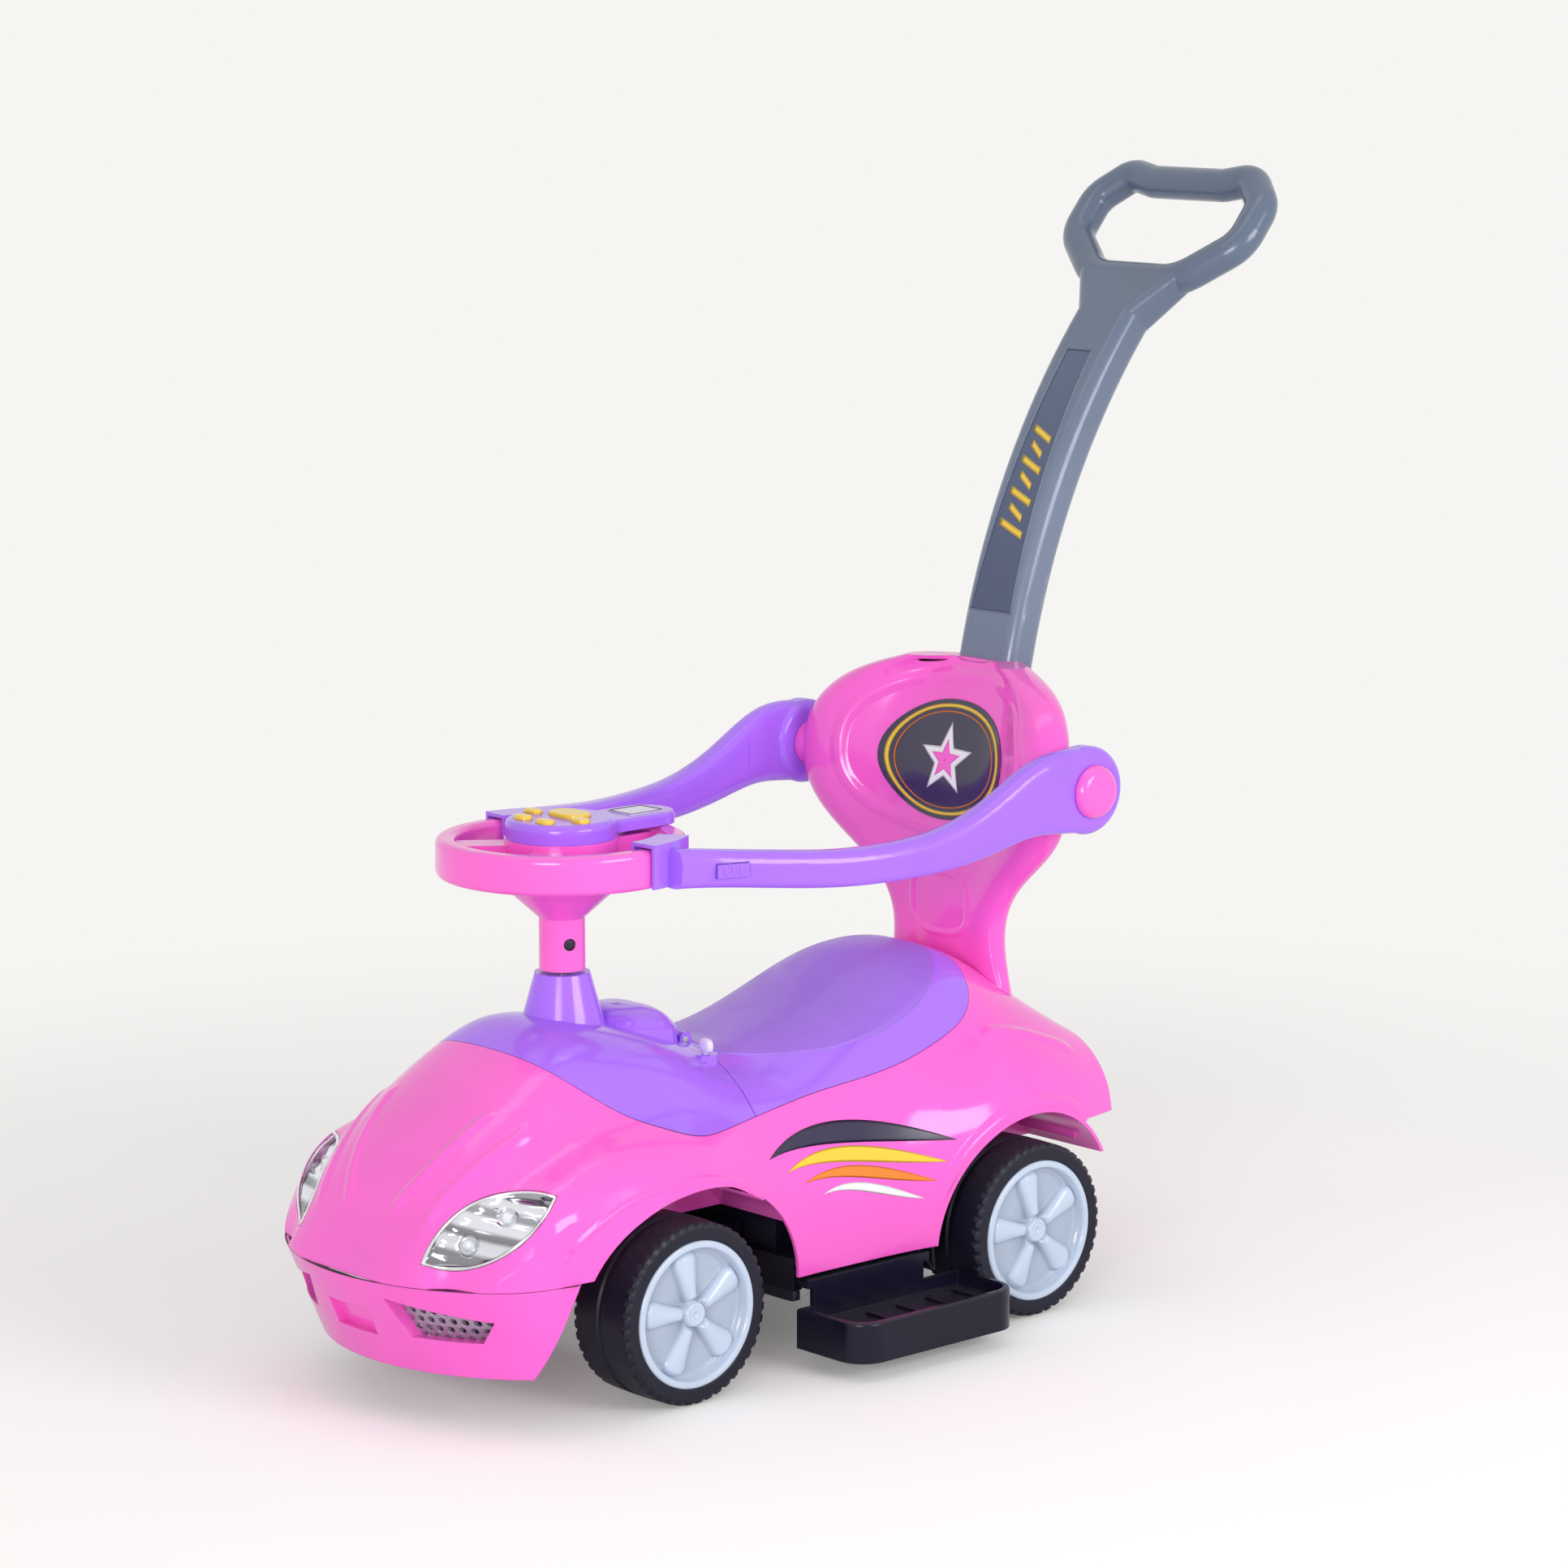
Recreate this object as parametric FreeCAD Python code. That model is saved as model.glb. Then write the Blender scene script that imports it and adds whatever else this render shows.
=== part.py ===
import FreeCAD, Part
import math
import os

V = FreeCAD.Vector

# Overall plan, in millimetres. The nose faces -Y, the driver's left is +X, the floor is z = 0.
overall_length = 868.3
front_overhang = 208.0
wheelbase = 340.0
rear_overhang = 92.0
body_width = 290.0
body_height = 270.0
wall = 3.0
seam_gap = 0.4

# Wheels
tyre_diameter = 132.0
tyre_width = 58.0
wheel_track = 232.0
tyre_shoulder = 7.0
tyre_groove_width = 5.0
tyre_groove_depth = 2.5
tyre_wall = 13.0
tyre_web = 6.0
tyre_notch_count = 36
tyre_notch_width = 4.0
tyre_notch_depth = 2.0
tyre_notch_length = 9.0
hub_diameter = 28.0
hub_recess = 12.0
hubcap_thickness = 3.0
hubcap_rim_width = 5.0
hubcap_rim_height = 8.5
petal_count = 5
petal_length = 33.0
petal_width = 25.0
petal_height = 9.0
petal_centre_share = 0.57
hubcap_boss_diameter = 21.0
hubcap_boss_height = 9.5
hubcap_dimple_diameter = 7.0
hubcap_dimple_depth = 4.0
notch_drop_share = 0.3

# Axles and steering
axle_diameter = 10.0
axle_fit = 0.08
axle_tip = 1.2
hub_gap = 0.3
hub_shoulder_diameter = 17.0
push_nut_diameter = 19.0
push_nut_thickness = 3.0
kingpin_x = 72.0
kingpin_diameter = 9.0
kingpin_head_diameter = 15.0
kingpin_head_height = 4.0
knuckle_diameter = 24.0
knuckle_height = 34.0
knuckle_gap = 0.5
steer_arm = 30.0
steer_arm_width = 12.0
steer_arm_thickness = 5.0
tie_pin_diameter = 7.0
tie_rod_width = 13.0
tie_rod_thickness = 9.0
tie_eye_diameter = 18.0
beam_bottom = 88.0
beam_thickness = 16.0
beam_width = 26.0
shaft_diameter = 10.0
shaft_bend_radius = 9.0
bush_wall = 4.0
bush_flange = 3.0
bush_flange_width = 3.0
bush_length = 14.0
column_tube_wall = 3.0

# Steering wheel and column
rim_outer_radius = 90.0
rim_width = 15.0
rim_bottom = 361.0
rim_height = 28.0
rim_round = 5.0
sleeve_diameter = 33.5
sleeve_bottom = 292.0
dish_neck_height = 330.0
dish_floor = 352.0
dish_floor_thickness = 4.0
hub_cup_radius = 41.0
hub_cup_wall = 3.5
hub_cup_top = 388.0
spoke_width = 24.0
spoke_top_drop = 5.0
column_screw_z = 312.0
column_screw_head = 9.0
column_screw_diameter = 4.0
column_screw_angle = -20.0
column_screw_sink = 2.0
spoke_angles = (90.0, 232.0, 308.0)

# Horn module
horn_radius = 40.0
horn_bottom = 388.0
horn_height = 14.0
horn_round = 5.0
horn_wall = 2.5
horn_tail_end = 100.0
horn_tail_width = 44.0
horn_tail_height = 9.0
horn_tail_rise = 1.2
big_button_back = 8.0
label_end = 14.0
speaker_forward = 16.0
cell_back = 8.0
horn_button_rise = 3.0
horn_button_travel = 2.0
horn_button_fit = 0.4
horn_button_flange = 1.2
horn_button_foot = 4.0
big_button_length = 34.0
big_button_width = 22.0
small_button_length = 15.0
small_button_width = 10.0
small_button_x_shares = (-0.66, -0.31, 0.31, 0.66)
small_button_y_shares = (-0.10, -0.62, -0.62, -0.10)
label_length = 32.0
label_width = 26.0
label_thickness = 1.5
label_rise = 0.6
board_thickness = 1.6
speaker_radius = 14.0
speaker_height = 9.0
cell_diameter = 14.0
cell_length = 30.0

# Cone and hump on the cowl
cone_top_radius = 20.0
cone_base_radius = 34.0
cone_top = 290.0
cone_wall = 3.0
cone_base_z = 240.0
hump_radius_x = 44.0
hump_radius_y = 40.0
hump_height = 34.0
hump_rear_share = 0.62
hump_centre_back = 60.0
hump_base_z = 224.0
seam_y_share = 1.275
key_x = 60.0
key_back = 84.0
key_stem_diameter = 5.0
key_stem_length = 22.0
key_bow_length = 13.0
key_bow_width = 7.0
key_bow_height = 11.0
key_fit = 0.3
key_top = 227.0
key_socket_diameter = 17.0

# Seat hinge
hinge_pin_diameter = 5.0
hinge_barrel_diameter = 11.0
hinge_length = 54.0
hinge_gap = 0.4
hinge_fit = 0.08
hinge_height_share = 0.852

# Bumper, lamps and grilles
bumper_bottom = 38.0
bumper_seam = 106.0
bumper_tuck = 30.0
bumper_draw_in = 10.0
bumper_tuck_shares = (0.92, 0.72, 0.30)
bumper_draw_shares = (0.60, 1.00, 0.90)
nose_arc_x = 108.0
nose_arc_back = 38.0
nose_corner_x = 129.0
nose_corner_back = 61.0
nose_side_x = 139.0
nose_side_back = 98.0
grille_inner_x = 42.0
grille_outer_x = 112.0
grille_bottom = 66.0
grille_top = 94.0
grille_depth = 9.0
grille_thickness = 3.0
grille_hole = 5.0
grille_pitch = 7.5
grille_lean_share = 0.16
front_slot_width = 44.0
front_slot_height = 20.0
front_slot_bottom = 62.0
front_slot_depth = 6.0
lamp_x = 106.0
lamp_back = 52.0
lamp_z = 150.0
lamp_length = 104.0
lamp_height = 46.0
lamp_bowl_depth = 8.0
lamp_bowl_wall = 2.0
lamp_flange = 2.5
lamp_run_shares = (0.48, 0.78, 0.40)
lamp_look_shares = (0.60, -0.70, 0.38)

# Wheel arches and sills
front_arch_length = 218.0
front_arch_height = 88.0
front_arch_back = 7.0
rear_arch_radius = 89.0
arch_inner_x = 58.0
sill_height = 67.0
tail_height = 141.0
liner_height = 112.0
valance_bottom = 121.0
valance_width = 236.0
valance_back = 65.0
bumper_corner_back = 101.0
bumper_corner_run = 39.0

# Chassis, tub and footrests
floor_height = 74.0
floor_thickness = 4.0
floor_width = 228.0
spine_width = 108.0
spine_thickness = 6.0
carrier_thickness = 10.0
carrier_length = 44.0
carrier_margin = 12.0
rail_depth = 20.0
rail_thickness = 3.0
rail_lip = 6.0
tub_width = 176.0
tub_height = 98.0
tub_gap = 2.0
tub_wall = 2.5
footrest_outer_x = 190.0
footrest_inner_x = 122.0
footrest_front = 116.0
footrest_rear = 62.0
footrest_bottom = 14.0
footrest_height = 30.0
footrest_wheel_gap = 4.0
footrest_round = 22.0
footrest_wall = 5.0
footrest_floor = 4.0
footrest_recess = 10.0
footrest_bar_count = 5
footrest_bar_width = 6.0
footrest_bar_height = 2.5
tongue_length = 60.0
tongue_thickness = 4.0
footrest_back_height = 64.0
slide_gap = 0.5

# Backrest
backrest_height = 475.0
backrest_base = 205.0
backrest_half_width = 141.0
backrest_front_back = 14.0
backrest_depth = 80.0
backrest_split_base_share = 0.51
backrest_split_top_share = 0.74
badge_width = 134.0
badge_height = 90.0
badge_rise = 0.8
badge_sink = 1.2
badge_z = 400.0
pivot_back = 33.0
pivot_z = 398.0
pivot_pin_diameter = 18.0
pivot_boss_diameter = 36.0
pivot_cap_diameter = 40.0
pivot_cap_height = 8.0
pivot_fit = 0.08
pivot_boss_length = 22.0

# Guard arms
arm_inner_x = 142.5
arm_boss_thickness = 23.0
arm_boss_diameter = 66.0
arm_side_gap = 0.6
arm_width = 22.0
arm_height = 27.0
arm_section_points = 12
arm_square_share = 0.62
saddle_wall = 2.6
saddle_gap = 1.3
saddle_start_angle = 4.0
saddle_sweep = 30.0
saddle_bottom = 361.5
latch_length = 24.0
latch_height = 10.0
latch_depth = 7.0
latch_rise = 2.5
latch_travel = 2.0
latch_fit = 0.3
latch_station = 7
latch_turn = 20.0

# Push handle
handle_width = 61.0
handle_depth = 31.0
handle_round = 11.0
handle_base_back = 96.0
handle_base_z = 480.0
handle_insert = 82.0
socket_below = 4.0
handle_lean_angle = 13.0
handle_top_angle = 40.0
handle_curve_radius = 590.0
handle_fit = 0.3
socket_wall = 4.5
socket_floor = 5.0
socket_rear_drop = 24.0
grip_tube_diameter = 26.0
grip_half_width = 88.0
grip_length = 139.0
grip_flare_width = 112.0
panel_thickness = 2.0
panel_bottom_width = 42.0
panel_top_width = 25.0
panel_fit = 0.2
panel_sink = 0.6

# Screws
screw_head_diameter = 8.0
screw_head_height = 2.5
screw_diameter = 4.0
screw_length = 10.0
tub_screw_margin = 18.0

# Body stations: place along the car (0 nose, 1 front axle, 2 rear axle, 3 tail), then the half
# profile from the crown over the fender crest to the sill, as shares of half width and height.
body_station_shares = (
    (-0.115, (0.000, 0.345, 0.550, 0.675, 0.785, 0.870, 0.910, 0.925, 0.910),
     (0.310, 0.305, 0.285, 0.260, 0.235, 0.215, 0.195, 0.165, 0.110)),
    (0.030, (0.000, 0.345, 0.550, 0.675, 0.785, 0.870, 0.910, 0.925, 0.910),
     (0.400, 0.390, 0.360, 0.330, 0.305, 0.285, 0.250, 0.195, 0.110)),
    (0.200, (0.000, 0.345, 0.550, 0.675, 0.785, 0.875, 0.925, 0.940, 0.925),
     (0.610, 0.590, 0.520, 0.435, 0.400, 0.370, 0.325, 0.230, 0.110)),
    (0.375, (0.000, 0.345, 0.550, 0.675, 0.800, 0.925, 0.960, 0.965, 0.950),
     (0.765, 0.740, 0.675, 0.620, 0.600, 0.535, 0.415, 0.260, 0.110)),
    (0.590, (0.000, 0.345, 0.550, 0.675, 0.815, 0.950, 0.985, 0.985, 0.965),
     (0.880, 0.855, 0.785, 0.705, 0.665, 0.585, 0.425, 0.260, 0.110)),
    (0.785, (0.000, 0.345, 0.550, 0.675, 0.820, 0.970, 1.000, 1.000, 0.980),
     (0.960, 0.930, 0.840, 0.740, 0.695, 0.590, 0.425, 0.260, 0.110)),
    (1.000, (0.000, 0.345, 0.550, 0.690, 0.820, 0.980, 1.000, 1.000, 0.980),
     (0.950, 0.930, 0.865, 0.755, 0.700, 0.585, 0.425, 0.260, 0.110)),
    (1.130, (0.000, 0.330, 0.525, 0.705, 0.805, 0.930, 0.960, 0.950, 0.930),
     (0.910, 0.895, 0.845, 0.725, 0.675, 0.570, 0.415, 0.260, 0.110)),
    (1.270, (0.000, 0.315, 0.495, 0.690, 0.770, 0.860, 0.890, 0.875, 0.860),
     (0.850, 0.835, 0.795, 0.705, 0.645, 0.550, 0.405, 0.250, 0.110)),
    (1.500, (0.000, 0.275, 0.460, 0.655, 0.745, 0.820, 0.850, 0.855, 0.840),
     (0.848, 0.838, 0.800, 0.710, 0.635, 0.535, 0.390, 0.250, 0.110)),
    (1.695, (0.000, 0.290, 0.485, 0.660, 0.760, 0.855, 0.895, 0.875, 0.860),
     (0.915, 0.905, 0.862, 0.735, 0.665, 0.555, 0.405, 0.250, 0.110)),
    (1.855, (0.000, 0.290, 0.475, 0.640, 0.785, 0.940, 0.970, 0.950, 0.930),
     (0.985, 0.973, 0.920, 0.790, 0.710, 0.585, 0.430, 0.250, 0.110)),
    (2.000, (0.000, 0.275, 0.440, 0.605, 0.795, 0.965, 1.000, 0.995, 0.965),
     (0.980, 0.965, 0.910, 0.830, 0.750, 0.610, 0.460, 0.260, 0.110)),
    (2.490, (0.000, 0.275, 0.430, 0.595, 0.770, 0.940, 0.970, 0.970, 0.950),
     (0.890, 0.880, 0.845, 0.795, 0.735, 0.610, 0.480, 0.260, 0.110)),
    (3.000, (0.000, 0.275, 0.450, 0.620, 0.760, 0.870, 0.905, 0.905, 0.885),
     (0.765, 0.755, 0.740, 0.720, 0.675, 0.595, 0.510, 0.260, 0.110)),
    (3.300, (0.000, 0.275, 0.450, 0.605, 0.730, 0.830, 0.870, 0.870, 0.855),
     (0.660, 0.650, 0.640, 0.620, 0.585, 0.535, 0.480, 0.260, 0.110)),
)
# The line that parts the cowl and seat from the body, seen from the side.
parting_shares = (
    (0.375, 1.110), (0.645, 0.912), (0.745, 0.838), (0.827, 0.789), (0.918, 0.745), (0.995, 0.720),
    (1.044, 0.698), (1.091, 0.684), (1.147, 0.680), (1.271, 0.688), (1.480, 0.711), (1.694, 0.737),
    (1.853, 0.788), (1.941, 0.838), (1.994, 0.893), (2.105, 0.970), (2.160, 1.110),
)
# Backrest levels: height from its base to its top, half width, hollow of the front's middle,
# front of its sides, and rear, each as a share of the backrest's own size.
backrest_level_shares = (
    (0.000, 0.440, 0.28, 0.33, 0.72), (0.222, 0.410, 0.27, 0.31, 0.67), (0.352, 0.490, 0.25, 0.27, 0.68),
    (0.482, 0.770, 0.26, 0.16, 0.69), (0.592, 0.950, 0.29, 0.05, 0.69), (0.724, 0.995, 0.35, 0.00, 0.71),
    (0.852, 0.930, 0.48, 0.10, 0.79), (0.940, 0.740, 0.63, 0.28, 0.89), (1.000, 0.420, 0.75, 0.48, 0.96),
)
# Guard arm stations: share of the way from the pivot to the column, then the middle's place out
# from the boss as a share of the rim's radius, its drop as a share of the boss, and its height.
arm_station_shares = (
    (0.000, 0.000, 0.00, 2.35), (0.140, 0.000, -0.02, 2.05), (0.243, -0.028, -0.23, 1.56),
    (0.362, -0.061, -0.42, 1.19), (0.494, -0.128, -0.49, 1.04), (0.622, -0.228, -0.49, 1.00),
    (0.734, -0.350, -0.44, 1.00), (0.848, -0.500, -0.38, 1.00), (0.905, -0.611, -0.36, 1.03),
    (0.935, -0.683, -0.36, 1.05),
)
# Grip ring: corners across (of the half width) and up (of the grip's length), and their rounding.
grip_corner_shares = (
    (0.50, 0.286, 0.32), (1.00, 0.556, 0.19), (1.00, 0.825, 0.16), (0.72, 1.000, 0.11),
    (0.42, 0.955, 0.16),
)
# Backrest outline at one level: across (of its half width) and back (of its depth there).
backrest_side_shares = ((0.92, 0.00), (1.00, 0.17), (0.91, 0.55), (0.52, 0.91))
backrest_hollow_shares = (0.50, 0.35)
panel_span_shares = (0.10, 0.86)

half_width = body_width / 2
nose_y = -overall_length / 2
front_axle_y = nose_y + front_overhang
rear_axle_y = front_axle_y + wheelbase
tail_y = rear_axle_y + rear_overhang
axle_z = tyre_diameter / 2
axle_radius = axle_diameter / 2
wheel_x = wheel_track / 2
reach = overall_length
across = V(1, 0, 0)
up = V(0, 0, 1)


def along(share):
    """Place along the car: 0 nose, 1 front axle, 2 rear axle, 3 tail."""
    stops = (nose_y, front_axle_y, rear_axle_y, tail_y)
    index = min(max(math.floor(share), 0), len(stops) - 2)
    return stops[index] + (share - index) * (stops[index + 1] - stops[index])


seam_y = along(seam_y_share)


def block(x0, x1, y0, y1, z0, z1):
    return Part.makeBox(x1 - x0, y1 - y0, z1 - z0, V(x0, y0, z0))


def mirrored(shape):
    return shape.mirror(V(0, 0, 0), across)


def both_sides(shape):
    return [shape, mirrored(shape)]


def spline(points, closed=False):
    curve = Part.BSplineCurve()
    curve.interpolate(points, PeriodicFlag=closed)
    return curve.toShape()


def twin_loop(half):
    """A closed outline from one half of it, level with X where the halves meet."""
    middle = half[0].x
    other = [V(2 * middle - p.x, p.y, p.z) for p in reversed(half)]
    curves = [Part.BSplineCurve(), Part.BSplineCurve()]
    curves[0].interpolate(half, InitialTangent=across, FinalTangent=-across)
    curves[1].interpolate(other, InitialTangent=-across, FinalTangent=across)
    return Part.Wire([curve.toShape() for curve in curves])


def ring(radius_out, radius_in, height, place, direction):
    outer = Part.makeCylinder(radius_out, height, place, direction)
    return outer.cut(Part.makeCylinder(radius_in, height, place, direction))


def save(name, shapes):
    shape = shapes if isinstance(shapes, Part.Shape) else Part.makeCompound(shapes)
    shape.exportStep("parts/" + name + ".step")


# Body, cowl and seat
def body_station(row, inset):
    share, x_shares, z_shares = row
    points = [(x * half_width, z * body_height) for x, z in zip(x_shares, z_shares)]
    moved = []
    last = len(points) - 1
    for index, (x, z) in enumerate(points):
        before = points[index - 1] if index else (-points[1][0], points[1][1])
        after = points[min(index + 1, last)]
        tangent = V(after[0] - before[0], 0, after[1] - before[1])
        tangent.normalize()
        drop = 0 if index == last else inset * tangent.x
        moved.append(V(x + inset * tangent.z, along(share), z - drop))
    left = [V(-p.x, p.y, p.z) for p in reversed(moved[1:])]
    return Part.Wire([spline(left + moved), Part.makeLine(moved[-1], left[0])])


def body_form(inset):
    return Part.makeLoft([body_station(row, inset) for row in body_station_shares], True, False)


def plan_outline(inset, level, tuck=0, draw=0):
    """The car's outline from above: nose arc, nose corners, straight sides."""
    side_x = half_width + wall
    nose = ((nose_arc_x, nose_arc_back), (nose_corner_x, nose_corner_back),
            (nose_side_x, nose_side_back))
    right = [V(x - draw * d, nose_y + y + tuck * t, 0)
             for (x, y), t, d in zip(nose, bumper_tuck_shares, bumper_draw_shares)]
    right += [V(side_x, front_axle_y, 0), V(side_x, tail_y, 0)]
    left = [V(-p.x, p.y, 0) for p in right]
    edges = [Part.Arc(left[0], V(0, nose_y + tuck, 0), right[0]).toShape(),
             Part.Arc(*right[:3]).toShape(),
             Part.makeLine(right[2], right[3]), Part.makeLine(right[3], right[4]),
             Part.makeLine(right[4], left[4]), Part.makeLine(left[4], left[3]),
             Part.makeLine(left[3], left[2]), Part.Arc(left[2], left[1], left[0]).toShape()]
    wire = Part.Wire(edges)
    if inset:
        wire = Part.Wire(wire.makeOffset2D(-inset).Edges)
    wire.translate(V(0, 0, level))
    return wire


def plan_prism(inset, bottom, top):
    return Part.Face(plan_outline(inset, bottom)).extrude(V(0, 0, top - bottom))


def above_parting(lift):
    points = [V(-reach, along(a), z * body_height + lift) for a, z in parting_shares]
    first, last = points[0], points[-1]
    roof = reach
    corners = [V(-reach, last.y, roof), V(-reach, first.y, roof)]
    edges = [spline(points), Part.makeLine(last, corners[0]), Part.makeLine(corners[0], corners[1]),
             Part.makeLine(corners[1], first)]
    return Part.Face(Part.Wire(edges)).extrude(V(2 * reach, 0, 0))


def ellipse_tunnel(centre_y, half_length, height, inner_x):
    """A wheel arch, open downwards: half an ellipse over the axle, straight below it."""
    edge = Part.Circle(V(0, 0, 0), up, half_length)
    if half_length > height:
        edge = Part.Ellipse(V(0, 0, 0), half_length, height)
    face = Part.Face(Part.Wire(edge.toShape()))
    face.rotate(V(0, 0, 0), across, math.degrees(math.pi / 2))
    face.rotate(V(0, 0, 0), up, math.degrees(math.pi / 2))
    face.translate(V(inner_x, centre_y, axle_z))
    tunnel = face.extrude(V(body_width, 0, 0))
    lower = block(inner_x, inner_x + body_width, centre_y - half_length, centre_y + half_length, -axle_z,
                  axle_z)
    return tunnel.fuse(lower).removeSplitter()


front_arch_y = front_axle_y + front_arch_back


def arches(grow, inner_x):
    front = ellipse_tunnel(front_arch_y, front_arch_length / 2 + grow, front_arch_height + grow, inner_x)
    rear = ellipse_tunnel(rear_axle_y, rear_arch_radius + grow, rear_arch_radius + grow, inner_x)
    return both_sides(front) + both_sides(rear)


def underside():
    """What lies below the body's lower edge: bumper seam, sills and tail."""
    front = block(-reach, reach, nose_y - reach, front_arch_y, -reach, bumper_seam + seam_gap / 2)
    middle = block(-reach, reach, front_arch_y, rear_axle_y, -reach, sill_height)
    rear = block(-reach, reach, rear_axle_y, tail_y + reach, -reach, tail_height)
    return [front, middle, rear]


def lamp_frame():
    """Almond outline of a headlight, swept along the way the lamp looks."""
    centre = V(lamp_x, nose_y + lamp_back, lamp_z)
    run = V(lamp_run_shares[0], lamp_run_shares[1], lamp_run_shares[2]).normalize()
    look = V(lamp_look_shares[0], lamp_look_shares[1], lamp_look_shares[2])
    look = (look - run * look.dot(run)).normalize()
    rise = run.cross(look).normalize()
    if rise.z < 0:
        rise = -rise
    return centre, run, look, rise


def lamp_prism(grow):
    centre, run, look, rise = lamp_frame()
    half = lamp_length / 2 + grow
    tall = lamp_height / 2 + grow
    deep = lamp_length / 2
    ends = [centre - run * half - look * deep, centre + run * half - look * deep]
    crest = centre + rise * tall - look * deep
    trough = centre - rise * tall - look * deep
    wire = Part.Wire([Part.Arc(ends[0], crest, ends[1]).toShape(),
                      Part.Arc(ends[1], trough, ends[0]).toShape()])
    return Part.Face(wire).extrude(look * lamp_length)


outer_form = body_form(0).common(plan_prism(0, 0, reach))
inner_form = body_form(wall).common(plan_prism(wall, -reach, reach))
skin = outer_form.cut(inner_form)


def body_shell():
    lower = skin.cut(above_parting(0)).cut(arches(0, 0)).cut(underside())
    tunnels = Part.makeCompound(arches(wall, arch_inner_x - wall))
    liner = outer_form.common(tunnels).cut(arches(0, arch_inner_x)).cut(above_parting(0))
    liner = liner.cut(block(-reach, reach, nose_y, tail_y + reach, -reach, liner_height))
    valance_y = rear_axle_y + valance_back
    valance = block(-valance_width / 2, valance_width / 2, valance_y, valance_y + wall, valance_bottom,
                    body_height)
    shell = lower.fuse([liner, outer_form.common(valance)])
    return shell.cut(both_sides(lamp_prism(seam_gap)))


def lamps():
    lens = skin.common(lamp_prism(0))
    look = lamp_frame()[2]
    deep, shallow = inner_form.copy(), inner_form.copy()
    deep.translate(look * -lamp_bowl_depth)
    shallow.translate(look * (lamp_bowl_wall - lamp_bowl_depth))
    bowl = inner_form.cut(deep).common(lamp_prism(lamp_flange))
    hollow = inner_form.cut(shallow).common(lamp_prism(-2 * lamp_bowl_wall))
    return lens, bowl.cut(hollow)


# Bumper with its grilles
def bumper_band(outer_inset, inner_inset):
    top = bumper_seam - seam_gap / 2
    solids = []
    for inset in (outer_inset, inner_inset):
        wires = [plan_outline(inset, bumper_bottom, bumper_tuck, bumper_draw_in),
                 plan_outline(inset, top)]
        solids.append(Part.makeLoft(wires, True, True))
    front = block(-reach, reach, nose_y - reach, front_arch_y, 0, reach)
    return solids[0].cut(solids[1]).common(front)


def grille_window(grow):
    """Slanted four-cornered opening beside the nose, swept backwards."""
    lean = grille_outer_x - grille_inner_x
    front = nose_y - grille_depth
    corners = [V(grille_inner_x, front, grille_top),
               V(grille_outer_x, front, grille_top - lean * grille_lean_share),
               V(grille_outer_x - lean * grille_lean_share, front, grille_bottom),
               V(grille_inner_x + lean * grille_lean_share, front, grille_bottom)]
    wire = Part.makePolygon(corners + corners[:1])
    if grow:
        wire = wire.makeOffset2D(grow)
    return Part.Face(wire).extrude(V(0, nose_side_back, 0))


def hexagon_holes():
    holes = []
    columns = math.ceil((grille_outer_x - grille_inner_x) / grille_pitch) + 1
    row_step = grille_pitch * math.cos(math.pi / 6)
    rows = math.ceil((grille_top - grille_bottom) / row_step) + 1
    for row in range(rows):
        for column in range(columns):
            x = grille_inner_x + (column + (row % 2) / 2) * grille_pitch
            z = grille_bottom + row * row_step
            turns = [math.pi / 6 + math.pi / 3 * k for k in range(7)]
            corners = [V(x + grille_hole / 2 * math.cos(t), nose_y - grille_depth,
                         z + grille_hole / 2 * math.sin(t))
                       for t in turns]
            holes.append(Part.Face(Part.makePolygon(corners)).extrude(V(0, nose_side_back, 0)))
    return Part.makeCompound(holes)


def bumper():
    depth = grille_depth + grille_thickness
    shell = bumper_band(0, wall)
    pocket = block(-front_slot_width / 2, front_slot_width / 2, nose_y - wall, nose_y + nose_arc_back,
                   front_slot_bottom, front_slot_bottom + front_slot_height)
    frame = block(-front_slot_width / 2 - wall, front_slot_width / 2 + wall, nose_y - wall,
                  nose_y + nose_arc_back,
                  front_slot_bottom - wall, front_slot_bottom + front_slot_height + wall)
    bezels = [bumper_band(0, depth).common(side) for side in both_sides(grille_window(wall))]
    shell = shell.fuse(bezels + [bumper_band(0, front_slot_depth + wall).common(frame)])
    shell = shell.cut(both_sides(grille_window(0))
                      + [bumper_band(-wall, front_slot_depth).common(pocket)])
    corner_y = front_axle_y - bumper_corner_back
    corner = Part.makePolygon([V(-reach, corner_y, bumper_seam),
                               V(-reach, corner_y - bumper_corner_run, 0),
                               V(-reach, front_axle_y, 0), V(-reach, front_axle_y, bumper_seam),
                               V(-reach, corner_y, bumper_seam)])
    return shell.cut(arches(0, 0)).cut(Part.Face(corner).extrude(V(2 * reach, 0, 0)))


def grille():
    plate = bumper_band(grille_depth, grille_depth + grille_thickness).common(grille_window(0))
    return plate.cut(hexagon_holes())


# Cowl, key and seat
hinge_z = hinge_height_share * body_height
hinge_radius = hinge_barrel_diameter / 2


def hinge_rod(radius, x0, x1):
    return Part.makeCylinder(radius, x1 - x0, V(x0, seam_y, hinge_z), across)


hinge_third = hinge_length / 6
column_hole = shaft_diameter / 2 + axle_fit + bush_wall
bush_bottom = cone_top - cone_wall - bush_length


def hump(shrink):
    radius = hump_radius_x - shrink
    ball = Part.makeSphere(radius)
    matrix = FreeCAD.Matrix()
    matrix.scale(1, (hump_radius_y - shrink) / radius, (hump_height - shrink) / radius)
    ball = ball.transformGeometry(matrix)
    ball.translate(V(0, front_axle_y + hump_centre_back, hump_base_z))
    return ball


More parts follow.
